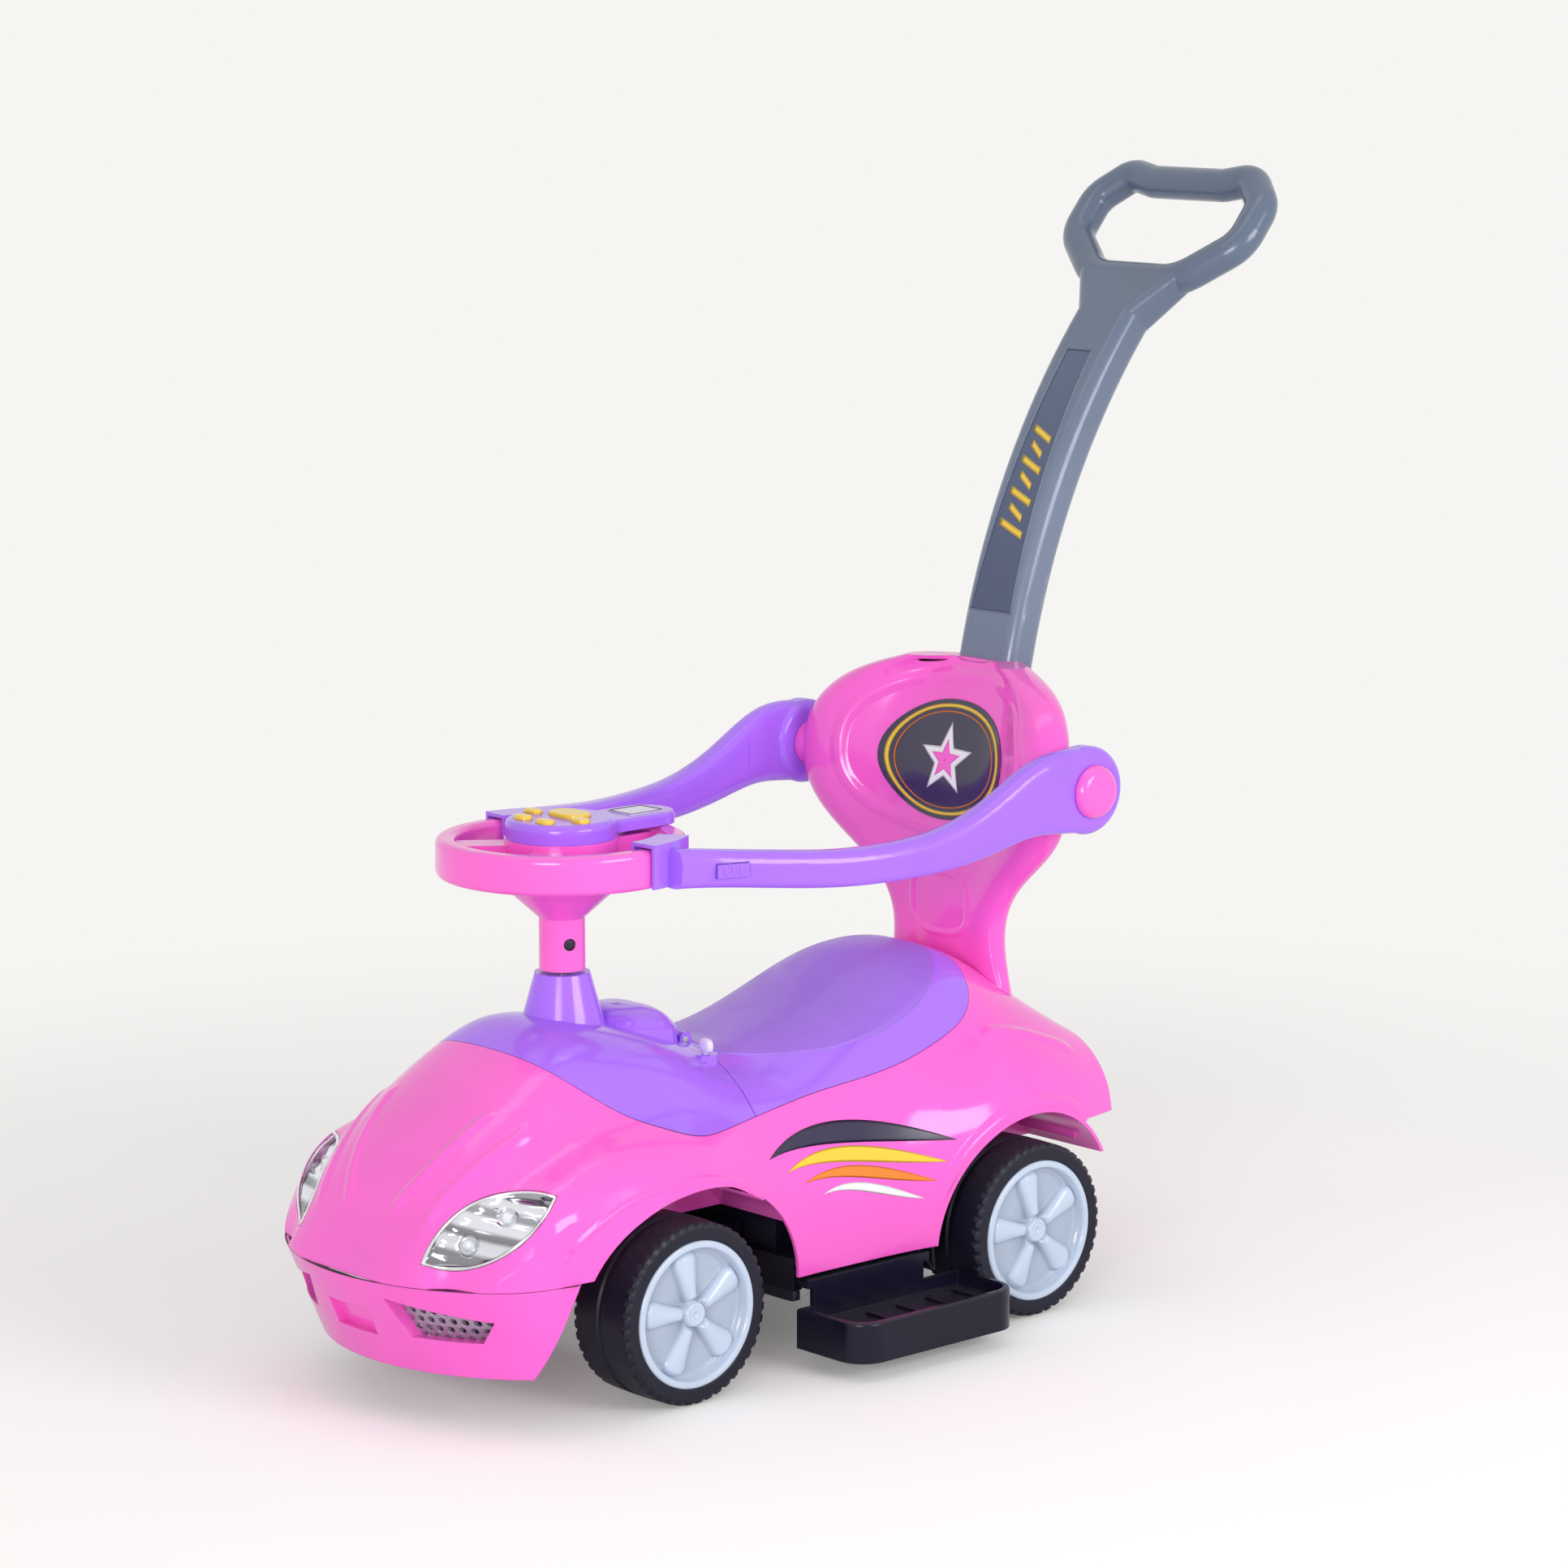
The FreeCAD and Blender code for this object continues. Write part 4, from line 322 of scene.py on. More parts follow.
def finishes():
    """Every finish by the name of its material slot, made once."""
    found = {m["finish"]: m for m in bpy.data.materials if "finish" in m}
    if found:
        return found
    shades = bpy.context.scene.push_car_colours
    c = {name: linear(getattr(shades, name)) for name in PushCarColours.__annotations__}
    pale_fade = fade_up((0.72, 0.74, 0.80, 1), WHITE, 0.50, 0.72)
    deep_fade = fade_up(WHITE, (0.68, 0.72, 0.76, 1), 0.60, 0.76)
    made = [
        moulded("body_pink", c["body"], 0.10, 0.18, specular=0.4, coat=0.3),
        moulded("wheel_pink", c["body"], 0.14, 0.22, coat=0.4),
        moulded("purple_gloss", c["cowl"], 0.12, 0.20, specular=0.4, coat=0.25),
        moulded("latch_purple", darker(c["cowl"], 0.93), 0.16, 0.26, coat=0.3),
        moulded("seat_purple", c["cowl"], 0.14, 0.24, coat=0.35),
        # The seat pad's darker purple is partly painted shade on the seat's top.
        moulded("seat_pad", c["seat"], 0.30, 0.42, flow=0.88, grain=1500.0, depth=0.04, coat=0.1),
        moulded("handle_grey", c["handle"], 0.18, 0.28, coat=0.2, tint=deep_fade),
        moulded("panel_grey", c["panel"], 0.22, 0.34, tint=pale_fade),
        # The hubcap's colour is darkened by the painted shade stored on its points.
        moulded("hubcap_grey", c["hubcap"], 0.16, 0.26, coat=0.25, tint=toned),
        moulded("tyre_black", darker(c["tyre"], 0.75), 0.34, 0.50, flow=0.75, grain=1300.0, depth=0.05,
                dust=0.06, scratches=0.10, specular=0.3),
        moulded("black_gloss", darker(c["black"], 0.75), 0.16, 0.26, flow=0.8, specular=0.3),
        moulded("black_matte", darker(c["black"], 0.8), 0.36, 0.52, flow=0.8, grain=1200.0, depth=0.05),
        # The chrome is darkened by the painted reflection bands and cup shade stored on its points.
        moulded("reflector_chrome", (0.93, 0.93, 0.95, 1), 0.05, 0.10, flow=0.97, metal=1.0, depth=0.005,
                dust=0.0, scratches=0.02, tint=toned),
        moulded("grille_grey", (0.42, 0.34, 0.45, 1), 0.24, 0.36, metal=0.5),
        moulded("button_yellow", c["yellow"], 0.18, 0.28, coat=0.3),
        moulded("key_white", c["pale"], 0.16, 0.26, coat=0.3),
        moulded("badge_dark", c["navy"], 0.14, 0.22, coat=0.5),
        moulded("label_pale", c["pale"], 0.22, 0.32),
        moulded("board_green", (0.03, 0.20, 0.07, 1), 0.3, 0.5),
        moulded("speaker_black", (0.02, 0.02, 0.02, 1), 0.5, 0.7),
        moulded("cell_steel", (0.55, 0.55, 0.56, 1), 0.2, 0.3, metal=1.0),
        moulded("zinc_steel", (0.60, 0.61, 0.62, 1), 0.24, 0.42, metal=1.0, grain=500.0),
        moulded("stripe_navy", c["navy"], 0.22, 0.30),
        moulded("stripe_yellow", c["yellow"], 0.22, 0.30),
        moulded("stripe_orange", c["orange"], 0.22, 0.30),
        moulded("stripe_white", (0.86, 0.86, 0.88, 1), 0.22, 0.30),
        moulded("line_grey", linear([v * 1.18 for v in shades.handle]), 0.2, 0.3),
        clear_lens(),
    ]
    return {m["finish"]: m for m in made}


# Meshes
def grid_faces(rows, columns, wrap_rows=False, wrap_columns=False):
    """Quads between the lines of a grid of points; a wrapped way joins its last line to its first."""
    r, c = np.meshgrid(np.arange(rows if wrap_rows else rows - 1),
                       np.arange(columns if wrap_columns else columns - 1), indexing="ij")
    r1, c1 = (r + 1) % rows, (c + 1) % columns
    quads = np.stack([r * columns + c, r1 * columns + c, r1 * columns + c1, r * columns + c1], -1)
    return quads.reshape(-1, 4)


def outwards(points, faces):
    """The faces of a closed surface, turned so that the volume they enclose is positive."""
    a, b, c, d = (points[faces[:, k]] for k in range(4))
    volume = np.einsum("ij,ij->", a, np.cross(b, c)) + np.einsum("ij,ij->", a, np.cross(c, d))
    return faces if volume > 0 else faces[:, ::-1]


def facing(points, faces, way):
    """The faces of an open sheet, turned so that they look along a direction."""
    a, b, d = points[faces[:, 0]], points[faces[:, 1]], points[faces[:, 3]]
    return faces if (np.cross(b - a, d - a) @ np.asarray(way)).sum() > 0 else faces[:, ::-1]


def add_object(name, data):
    made = bpy.data.objects.new(name, data)
    bpy.context.scene.collection.objects.link(made)
    return made


def piece(name, points, faces, finish, body="chassis", stands_for=()):
    """A mesh object at the origin from whole arrays of points and faces, riding on a body, with its finish as
    its one material."""
    mesh = bpy.data.meshes.new(name)
    mesh.from_pydata(points, [], faces)
    mesh.polygons.foreach_set("use_smooth", np.ones(len(mesh.polygons), bool))
    mesh.materials.append(finishes()[finish])
    mesh.validate()
    if not mesh.polygons:
        raise RuntimeError(f"{name} has no faces")
    made = add_object(name, mesh)
    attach(made, body)
    if stands_for:
        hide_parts(*stands_for)
    return made


def sheet(name, points, way, finish, body="chassis", slot=None, wrap=(False, False), wall=0.0, grow=1.0):
    """A piece from a grid of points that looks along a direction. A wall gives it thickness, grown
    outwards at 1 and inwards at -1."""
    flat = points.reshape(-1, 3)
    made = piece(name, flat, facing(flat, grid_faces(*points.shape[:2], *wrap), way), finish, body)
    if wall:
        thickness = made.modifiers.new("Thickness", "SOLIDIFY")
        thickness.thickness, thickness.offset = wall, grow
    return made


def pair(name, points, way, finish, **values):
    """A sheet on the left and its mirror image on the right; the side goes into the name's braces."""
    return [sheet(name.format(side), points * (sign, 1, 1), np.multiply(way, (sign, 1, 1)), finish, **values)
            for side, sign in SIDES]


def solid(name, points, finish, body="chassis", stands_for=(), ring=False):
    """A closed piece from a grid that closes round its columns. In a ring its rows close too, and
    otherwise each end has a cap."""
    rows, columns = points.shape[:2]
    flat = points.reshape(-1, 3)
    plain = grid_faces(rows, columns, ring, True)
    faces = outwards(flat - flat.mean(0), plain)
    if not ring:
        first, last = list(range(columns)), list(range((rows - 1) * columns, rows * columns))
        caps = [first[::-1], last] if faces is plain else [first, last[::-1]]
        faces = [*faces.tolist(), *caps]
    return piece(name, flat, faces, finish, body, stands_for)


def give_tone(made, tone):
    """Stores a share for each point of a piece, for its finish to read: painted shade on the hubcaps, painted
    reflection bands and cup shade on the reflectors, and an even share on the lamp rims.
    """
    values = np.broadcast_to(np.ravel(tone), len(made.data.vertices)).astype(np.float32)
    made.data.attributes.new("tone", "FLOAT", "POINT").data.foreach_set("value", values)


# Curves and surfaces
def smoothstep(x, low, high):
    """A share from 0 to 1 between two ends, eased by three times its square less twice its cube."""
    t = np.clip((x - low) / (high - low), 0, 1)
    return t * t * (3 - 2 * t)


def bent(v, power):
    """A cosine or sine raised to two over a power, with its sign kept."""
    return np.sign(v) * np.abs(v) ** (2 / power)


def unit(vectors):
    """Vectors divided by their lengths."""
    return vectors / np.maximum(np.linalg.norm(vectors, axis=-1, keepdims=True), 1e-12)


def turns(count):
    """Angles that part a full turn evenly."""
    return np.arange(count) * TURN / count


def rounded_profile(corners, steps=7):
    """A closed outline in a plane: each corner (a, b, radius) becomes an arc tangent to its two sides."""
    p = np.array([c[:2] for c in corners], float)
    radius = np.array([c[2] for c in corners], float)[:, None]
    back, on = unit(np.roll(p, 1, 0) - p), unit(np.roll(p, -1, 0) - p)
    half = np.arccos(np.clip((back * on).sum(1, keepdims=True), -1, 1)) / 2
    centre = p + unit(back + on) * radius / np.sin(half)
    first, last = p + back * radius / np.tan(half), p + on * radius / np.tan(half)
    t = np.linspace(0, 1, steps)[None, :, None]
    chord = first[:, None] * (1 - t) + last[:, None] * t - centre[:, None]
    return (centre[:, None] + unit(chord) * radius[:, None]).reshape(-1, 2)


def spaced(loop, gap):
    """A closed outline with extra points, so that no step along it is longer than a gap."""
    step = np.roll(loop, -1, 0) - loop
    count = np.maximum(np.ceil(np.linalg.norm(step, axis=1) / gap).astype(int), 1)
    index = np.repeat(np.arange(len(loop)), count)
    share = (np.arange(len(index)) - np.repeat(np.cumsum(count) - count, count)) / count[index]
    return loop[index] + step[index] * share[:, None]


def lathe(profile, count):
    """A closed profile (along, radius) turned about the X axis: x = along, y and z = radius times
    cosine and sine of the turn. Rows follow the turn, columns follow the profile."""
    turn = turns(count)[:, None]
    x, r = profile[None, :, 0], profile[None, :, 1]
    return np.stack(np.broadcast_arrays(x, r * np.cos(turn), r * np.sin(turn)), -1)


def strip(first, second, columns=9):
    """A sheet between two edge curves: each column is a straight blend from the first to the second."""
    t = np.linspace(0, 1, columns)[None, :, None]
    return first[:, None] * (1 - t) + second[:, None] * t


def bezier(points, count):
    """A cubic curve from four points by their Bernstein weights."""
    t = np.linspace(0, 1, count)[:, None]
    a, b, c, d = np.asarray(points, float)
    return a * (1 - t) ** 3 + 3 * b * t * (1 - t) ** 2 + 3 * c * t * t * (1 - t) + d * t ** 3


def smooth_path(places, count=61, degree=3):
    """A path near a few places: each coordinate is a polynomial of the share of length run."""
    p = np.asarray(places, float) * MM
    run = np.concatenate([[0], np.cumsum(np.hypot(*np.diff(p, axis=0).T))])
    t = np.linspace(0, 1, count)
    return np.stack([np.polyval(np.polyfit(run / run[-1], p[:, k], degree), t) for k in (0, 1)], -1)


def round_path(centre, half, power, count=120):
    """A closed superellipse: cosine and sine of the turn, each raised to two over its power."""
    turn = turns(count)
    return np.stack([centre[0] + half[0] * bent(np.cos(turn), power),
                     centre[1] + half[1] * bent(np.sin(turn), power)], -1) * MM


def superellipsoid(half, power, rows=25, columns=48):
    """A rounded block about the origin: latitude and turn by cosines and sines, each raised to two over
    its power, times half its size."""
    lat = np.linspace(-0.999, 0.999, rows)[:, None] * QUARTER
    turn = turns(columns)[None, :]
    level = bent(np.cos(lat), power)
    return np.stack([level * bent(np.cos(turn), power), level * bent(np.sin(turn), power),
                     bent(np.sin(lat), power) * np.ones_like(turn)], -1) * np.array(half) * MM


def node_faces(name):
    """Centres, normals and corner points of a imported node's triangles."""
    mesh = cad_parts[name].data
    points = np.empty(len(mesh.vertices) * 3)
    mesh.vertices.foreach_get("co", points)
    corners = np.empty(len(mesh.loops), int)
    mesh.loops.foreach_get("vertex_index", corners)
    corners = points.reshape(-1, 3)[corners].reshape(-1, 3, 3)
    normals = np.cross(corners[:, 1] - corners[:, 0], corners[:, 2] - corners[:, 0])
    size = np.linalg.norm(normals, axis=1)
    keep = size > 1e-12
    return corners[keep].mean(1), normals[keep] / size[keep, None], corners[keep]


def fitted(u, v, height, degree):
    """Least-squares polynomial height over two parameters, as a function of whole arrays."""
    middle, half = np.array([u.mean(), v.mean()]), np.array([np.ptp(u), np.ptp(v)]) / 2
    powers = [(i, j) for i in range(degree + 1) for j in range(degree + 1 - i)]

    def basis(a, b):
        a, b = (a - middle[0]) / half[0], (b - middle[1]) / half[1]
        return np.stack([a ** i * b ** j for i, j in powers], -1)

    weights = np.linalg.lstsq(basis(u, v), height, rcond=None)[0]
    if not np.isfinite(weights).all():
        raise RuntimeError("a surface could not be fitted")
    return lambda a, b: basis(a, b) @ weights


# Wheels
NOTCH = {"steps": 8, "lean": 0.8, "cut": (0.15, 0.75), "reach": (5.0 * MM, 2.5 * MM),
         "foot": (4.5 * MM, 2.5 * MM)}
# Painted shade on the hubcap: dark is the share left on the low face, and shadow is a further painted shadow
# near the hub.
CAP = {"turns": 360, "rings": 74, "side": 4, "face": 3 * MM, "dark": 0.74, "shadow": 0.14}
SPOKE = {"start": math.radians(100), "root": 0.16, "reach": 0.74, "tip": 0.74, "narrow": 4.6 * MM,
         "gain": 8.6 * MM, "fall": 0.15}
BOSS = {"height": 8.0 * MM, "edge": (8.2 * MM, 10.6 * MM), "dome": 1.2 * MM, "dimple": 2.4 * MM,
        "dimple_edge": (1.0 * MM, 2.6 * MM), "step": 0.9 * MM, "step_edge": (5.2 * MM, 6.2 * MM)}


def tyre_points(size):
    """A tyre with its hub: a turned profile whose radius is lowered near the shoulders by notches, a
    raised cosine round the wheel that is cut off below half its height."""
    half, radius = size.tyre_width / 2, size.tyre_radius
    lip, hub, bore, boss = CAP_RADIUS, 14 * MM, 5.08 * MM, 12 * MM
    groove, deep, web, shoulder = 2.2 * MM, 1.8 * MM, 3 * MM, size.tyre_shoulder
    outside = [
        (web, lip, 2 * MM), (half - 0.8 * MM, lip, 0.5 * MM), (half, lip + 1.2 * MM, 0.7 * MM),
        (half, radius - shoulder, shoulder * 0.38), (half - 1.6 * MM, radius - 0.6 * MM, 1.4 * MM),
        (groove + 1.2 * MM, radius, 0.8 * MM), (groove - 0.4 * MM, radius - deep, 0.6 * MM)]
    inside = [(-x, r, rounding) for x, r, rounding in reversed(outside)]
    corners = [(-half, bore, 0.3 * MM), (boss, bore, 0.3 * MM), (boss, hub, 0.8 * MM), (web, hub, 1.5 * MM),
               *outside, *inside, (-web, hub, 1.5 * MM), (-half, hub, 0.8 * MM)]
    profile = spaced(rounded_profile(corners, 5), 1.5 * MM)
    count = size.notch_count * NOTCH["steps"]
    points = lathe(profile, count)
    x, r = profile[None, :, 0], profile[None, :, 1]
    turn = np.arange(count)[:, None] * TURN / NOTCH["steps"]
    wave = smoothstep(np.cos(turn + np.sign(x) * NOTCH["lean"]), *NOTCH["cut"])
    edge = smoothstep(np.abs(x), *(half - reach for reach in NOTCH["reach"]))
    edge = edge * smoothstep(r, *(radius - foot for foot in NOTCH["foot"]))
    share = 1 - wave * edge * size.notch_depth / np.maximum(r, MM)
    return points * np.stack([np.ones_like(share), share, share], -1)


def cap_points(size):
    """A hubcap face as heights on rings round the axle: the flat face, plus a rounded rim, plus spokes
    that widen outwards to a round tip, plus a domed boss with a dimple; then the middle of its flat rear.
    Low places are darkened as painted shade, most of all near the hub."""
    radius, rim = size.cap_radius, size.cap_radius - size.cap_rim
    base, side = CAP_LOW.x - TYRE_MIDDLE, CAP["side"]
    face, top = base + CAP["face"], CAP_HIGH.x - TYRE_MIDDLE
    r = np.concatenate([np.ones(side), np.linspace(1.0, 0.0, CAP["rings"]) ** 0.9])[None, :] * radius
    turn = turns(CAP["turns"])[:, None]
    pitch = TURN / size.spoke_count
    swing = (turn - SPOKE["start"] + pitch / 2) % pitch - pitch / 2
    share = np.clip((r / radius - SPOKE["root"]) / SPOKE["reach"], 0, 1)
    past = np.clip(share - SPOKE["tip"], 0, 1) / (1 - SPOKE["tip"])
    wide = (SPOKE["narrow"] + SPOKE["gain"] * share ** 1.2) * np.sqrt(np.clip(1 - past ** 2, 0.0025, 1))
    across = np.clip(np.abs(r * np.sin(swing)) / wide, 0, 1)
    back = np.sqrt(np.clip(1 - across ** 2.4, 0, 1)) * smoothstep(1 - across, 0, 0.12)
    body = smoothstep(r, 0.13 * radius, 0.26 * radius) * (1 - smoothstep(r, 0.80 * radius, 0.93 * radius))
    spoke = size.spoke_height * back * body * (1 - SPOKE["fall"] * share)
    ring = (top - face) * smoothstep(r, rim - 1.4 * MM, rim + 0.4 * MM)
    ring = ring - 0.9 * MM * smoothstep(r, radius - 1.2 * MM, radius)
    inner = 1.6 * MM * smoothstep(r, rim - 5 * MM, rim - 3.5 * MM)
    boss = BOSS["height"] * (1 - smoothstep(r, *BOSS["edge"])) + BOSS["dome"] * (1 - smoothstep(r, 0, 8 * MM))
    dimple = BOSS["dimple"] * (1 - smoothstep(r, *BOSS["dimple_edge"]))
    step = BOSS["step"] * (1 - smoothstep(r, *BOSS["step_edge"]))
    height = face + np.maximum.reduce(np.broadcast_arrays(ring, spoke, boss, inner)) - dimple - step
    height[:, :side] = np.linspace(base, height[0, side], side + 1)[:side]
    # Painted shade: the lower a place on the face, the darker it is, and darker still in low places near the
    # hub.
    tone = CAP["dark"] + (1 - CAP["dark"]) * smoothstep(height, face - 1 * MM, face + 6 * MM)
    low = 1 - smoothstep(height, face, face + 5 * MM)
    tone -= CAP["shadow"] * (1 - smoothstep(r, 8 * MM, 26 * MM)) * low
    front = np.stack([height, r * np.cos(turn), r * np.sin(turn)], -1)
    return front, np.array([[base, 0.0, 0.0]]), tone


class PUSHCAR_OT_tyres(bpy.types.Operator):
    """Four tyres with shoulder notches, a groove and a flat sidewall."""
    bl_idname = "pushcar.tyres"
    bl_label = "Tyres"

    def execute(self, context):
        points = tyre_points(context.scene.push_car_sizes)
        for end, side, sign in WHEELS:
            low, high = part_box(f"tyre_{end}_{side}")
            placed = points * (sign, 1, 1) + np.array((low + high) / 2)
            solid(f"tyre_{end}_{side}_tread", placed, "tyre_black", f"wheel_{end}_{side}",
                  stands_for=[f"tyre_{end}_{side}"], ring=True)
        return {"FINISHED"}


class PUSHCAR_OT_hubcaps(bpy.types.Operator):
    """Four hubcaps with rounded spokes, a rim and a dimpled boss."""
    bl_idname = "pushcar.hubcaps"
    bl_label = "Hubcaps"

    def execute(self, context):
        front, rear, tone = cap_points(context.scene.push_car_sizes)
        rows, columns = front.shape[:2]
        ring = np.arange(rows) * columns
        middle = np.full(rows, rows * columns)
        fan = np.stack([ring, np.roll(ring, -1), middle, middle], -1)
        quads = np.concatenate([grid_faces(rows, columns, True, False), fan[:, ::-1]])
        for end, side, sign in WHEELS:
            low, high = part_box(f"tyre_{end}_{side}")
            flat = np.concatenate([front.reshape(-1, 3), rear]) * (sign, 1, 1)
            faces = [list(dict.fromkeys(f)) for f in outwards(flat, quads).tolist()]
            made = piece(f"hubcap_{end}_{side}_face", flat + np.array((low + high) / 2), faces, "hubcap_grey",
                         f"wheel_{end}_{side}", stands_for=[f"hubcap_{end}_{side}"])
            # The rear's middle point gets the darkest painted shade.
            give_tone(made, np.append(tone, CAP["dark"]))
        return {"FINISHED"}


# Lamps
LAMP = {"centre": np.array((106.0, -382.15, 150.0)) * MM, "run": np.array((0.48, 0.78, 0.40)),
        "look": np.array((0.60, -0.70, 0.38)), "length": 104 * MM, "height": 46 * MM}
BULB_PLACES = np.array(((-17.0, -2.0), (15.0, 3.0))) * MM
BULB = {"radius": 4.2 * MM, "height": 6.4 * MM, "depth": 8.2 * MM, "wall": 0.4 * MM}
BOWL = {"wall": 0.8 * MM, "edge": 0.4 * MM, "depth": 4.8 * MM, "cup": 2.2 * MM, "deepest": 7.4 * MM,
        "flute": 0.5 * MM, "pitch": 14 * MM}
RIM = {"half": 1.1 * MM, "rise": 0.9 * MM, "sunk": 0.2 * MM, "tone": 0.9}
# Painted reflection bands on the reflector's chrome: brightness shares at steps along a slant.
PAINTED_REFLECTION_STEPS = np.array((-60.0, -30, -25, -14, -10, -4, 0, 12, 16, 22, 26, 34, 40, 60)) * MM
PAINTED_REFLECTION_BANDS = np.array((0.30, 0.35, 0.95, 0.90, 0.30, 0.35, 1.0, 1.0, 0.45, 0.50, 1.0, 0.95, 0.40, 0.6))


def lamp_axes():
    """The lamp's run, its look made square to the run, and its rise."""
    run = unit(LAMP["run"])
    look = unit(LAMP["look"] - run * (LAMP["look"] @ run))
    rise = np.cross(run, look)
    return run, look, rise * np.sign(rise[2])


def lens_fit(way):
    """One face of the lens as a polynomial height along the lamp's look, over its run and rise."""
    run, look, rise = lamp_axes()
    centres, normals, corners = node_faces("headlight_lenses")
    pick = (centres[:, 0] > 0) & (normals @ look * way > LEAST_FACING)
    p = np.concatenate([corners[pick].reshape(-1, 3), centres[pick]]) - LAMP["centre"]
    return fitted(p @ run, p @ rise, p @ look, 4)


def lamp_points(shrink, rows, columns):
    """An almond of points: along its run the half height is that of two crossing arcs."""
    half, tall = LAMP["length"] / 2 - shrink, LAMP["height"] / 2 - shrink
    big = (half ** 2 + tall ** 2) / (2 * tall)
    u = half * np.sin(np.linspace(-1, 1, rows) * QUARTER)[:, None]
    limit = np.sqrt(np.maximum(big ** 2 - u ** 2, 0)) - (big - tall)
    v = np.maximum(limit, 0) * np.linspace(-1, 1, columns)[None, :]
    return np.broadcast_to(u, v.shape), v


def from_lamp(u, v, height):
    """Places in the car of places along the lamp's run, rise and look."""
    run, look, rise = lamp_axes()
    return LAMP["centre"] + u[..., None] * run + v[..., None] * rise + height[..., None] * look


def reflector_points(lens):
    """A reflector: a bowl behind the lens with a round cup at each bulb and low flutes between them.
    Slanting bands of its run and rise pick dark and bright painted reflection streaks, and the cups round the
    bulbs get painted shade."""
    columns = 81
    u, v = lamp_points(1.0 * MM, 161, columns)
    inside = np.linspace(-1, 1, columns)[None, :] ** 2
    rim = (1 - inside ** 2) * (1 - (u / (LAMP["length"] / 2)) ** 6)
    reach = np.minimum(*[np.hypot(u - a, v - b) for a, b in BULB_PLACES])
    cup = 1 - smoothstep(reach, 5.5 * MM, 8.5 * MM)
    slant = u + 1.1 * v
    flute = BOWL["flute"] * np.cos(slant * TURN / BOWL["pitch"]) * (1 - cup)
    depth = np.clip((BOWL["depth"] + flute + BOWL["cup"] * cup) * rim, 0, BOWL["deepest"])
    # Painted reflection: dark and bright slanting bands, and painted shade of 0.75 in the bulb cups.
    tone = np.where(reach < 7 * MM, 0.75, np.interp(slant, PAINTED_REFLECTION_STEPS, PAINTED_REFLECTION_BANDS))
    return from_lamp(u, v, lens(u, v) - BOWL["edge"] - depth), tone


def rim_points(outer):
    """A bead round the lens: along the almond's edge, a squared cosine across."""
    u, v = lamp_points(1.3 * MM, 81, 3)
    path = np.stack([np.concatenate([k[:, 0], k[-2:0:-1, 2]]) for k in (u, v)], -1)
    way = unit(np.roll(path, -1, 0) - np.roll(path, 1, 0))
    s = np.linspace(-1, 1, 9)[None, :]
    u, v = path[:, :1] - way[:, 1:] * s * RIM["half"], path[:, 1:] + way[:, :1] * s * RIM["half"]
    return from_lamp(u, v, outer(u, v) + RIM["rise"] * np.cos(s * QUARTER) ** 2 - RIM["sunk"])


def dome_points(centre, axis, across):
    """A bulb: rings about an axis whose radius is a sine and whose height is a cosine of the latitude."""
    lat = np.linspace(0.02, 1.0, 12)[:, None, None] * QUARTER
    turn = turns(28)[None, :, None]
    around = np.cos(turn) * across + np.sin(turn) * np.cross(axis, across)
    return centre + np.sin(lat) * around * BULB["radius"] + np.cos(lat) * axis * BULB["height"]


class PUSHCAR_OT_lamps(bpy.types.Operator):
    """Fluted reflectors with two bulbs behind each clear lens, and a bright rim round it."""
    bl_idname = "pushcar.lamps"
    bl_label = "Headlights"

    def execute(self, context):
        run, look = lamp_axes()[:2]
        lens = lens_fit(-1)
        points, tone = reflector_points(lens)
        bowls = pair("headlight_reflector_{}", points, look, "reflector_chrome", wall=BOWL["wall"], grow=-1.0)
        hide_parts("headlight_bowls")
        # The reflectors carry their painted reflection bands and cup shade on their points.
        for made in bowls:
            give_tone(made, tone)
        for made in pair("headlight_rim_{}", rim_points(lens_fit(1)), look, "reflector_chrome",
                         wrap=(True, False)):
            give_tone(made, RIM["tone"])
        for number, (u, v) in enumerate(BULB_PLACES, 1):
            dome = dome_points(from_lamp(u, v, lens(u, v) - BULB["depth"]), look, run)
            pair(f"headlight_bulb_{{}}_{number}", dome, look, "stripe_white", slot="lens_clear",
                 wrap=(False, True), wall=BULB["wall"], grow=-1.0)
        return {"FINISHED"}


# Printed trim
SIDE_WINDOW = {"x": 0.09, "y": (-0.150, 0.075), "z": (0.085, 0.205), "lean": 0.35}
STICKER_GAP = 0.1 * MM
SIDE_STRIPES = (
    ("stripe_navy", ((-136, 158), (-86, 184), (-22, 172), (40, 146)),
     ((-136, 158), (-88, 165), (-26, 150), (40, 146))),
    ("stripe_yellow", ((-120, 146), (-76, 166), (-20, 150), (31, 131)),
     ((-120, 146), (-78, 152), (-24, 134), (31, 131))),
    ("stripe_orange", ((-104, 135), (-66, 150), (-18, 134), (21, 118)),
     ((-104, 135), (-68, 140), (-22, 121), (21, 118))),
    ("stripe_white", ((-86, 124), (-56, 136), (-20, 120), (10, 106)),
     ((-86, 124), (-57, 128), (-22, 110), (10, 106))),
)


def side_fit():
    """The body's side between the arches as a polynomial distance from the middle plane."""
    centres, normals, corners = node_faces("body_shell")
    x, y, z = centres.T
    pick = (x > SIDE_WINDOW["x"]) & (normals[:, 0] > SIDE_WINDOW["lean"])
    for values, (low, high) in ((y, SIDE_WINDOW["y"]), (z, SIDE_WINDOW["z"])):
        pick &= (values > low) & (values < high)
    p = np.concatenate([corners[pick].reshape(-1, 3), centres[pick]])
    return fitted(p[:, 1], p[:, 2], p[:, 0], 6)


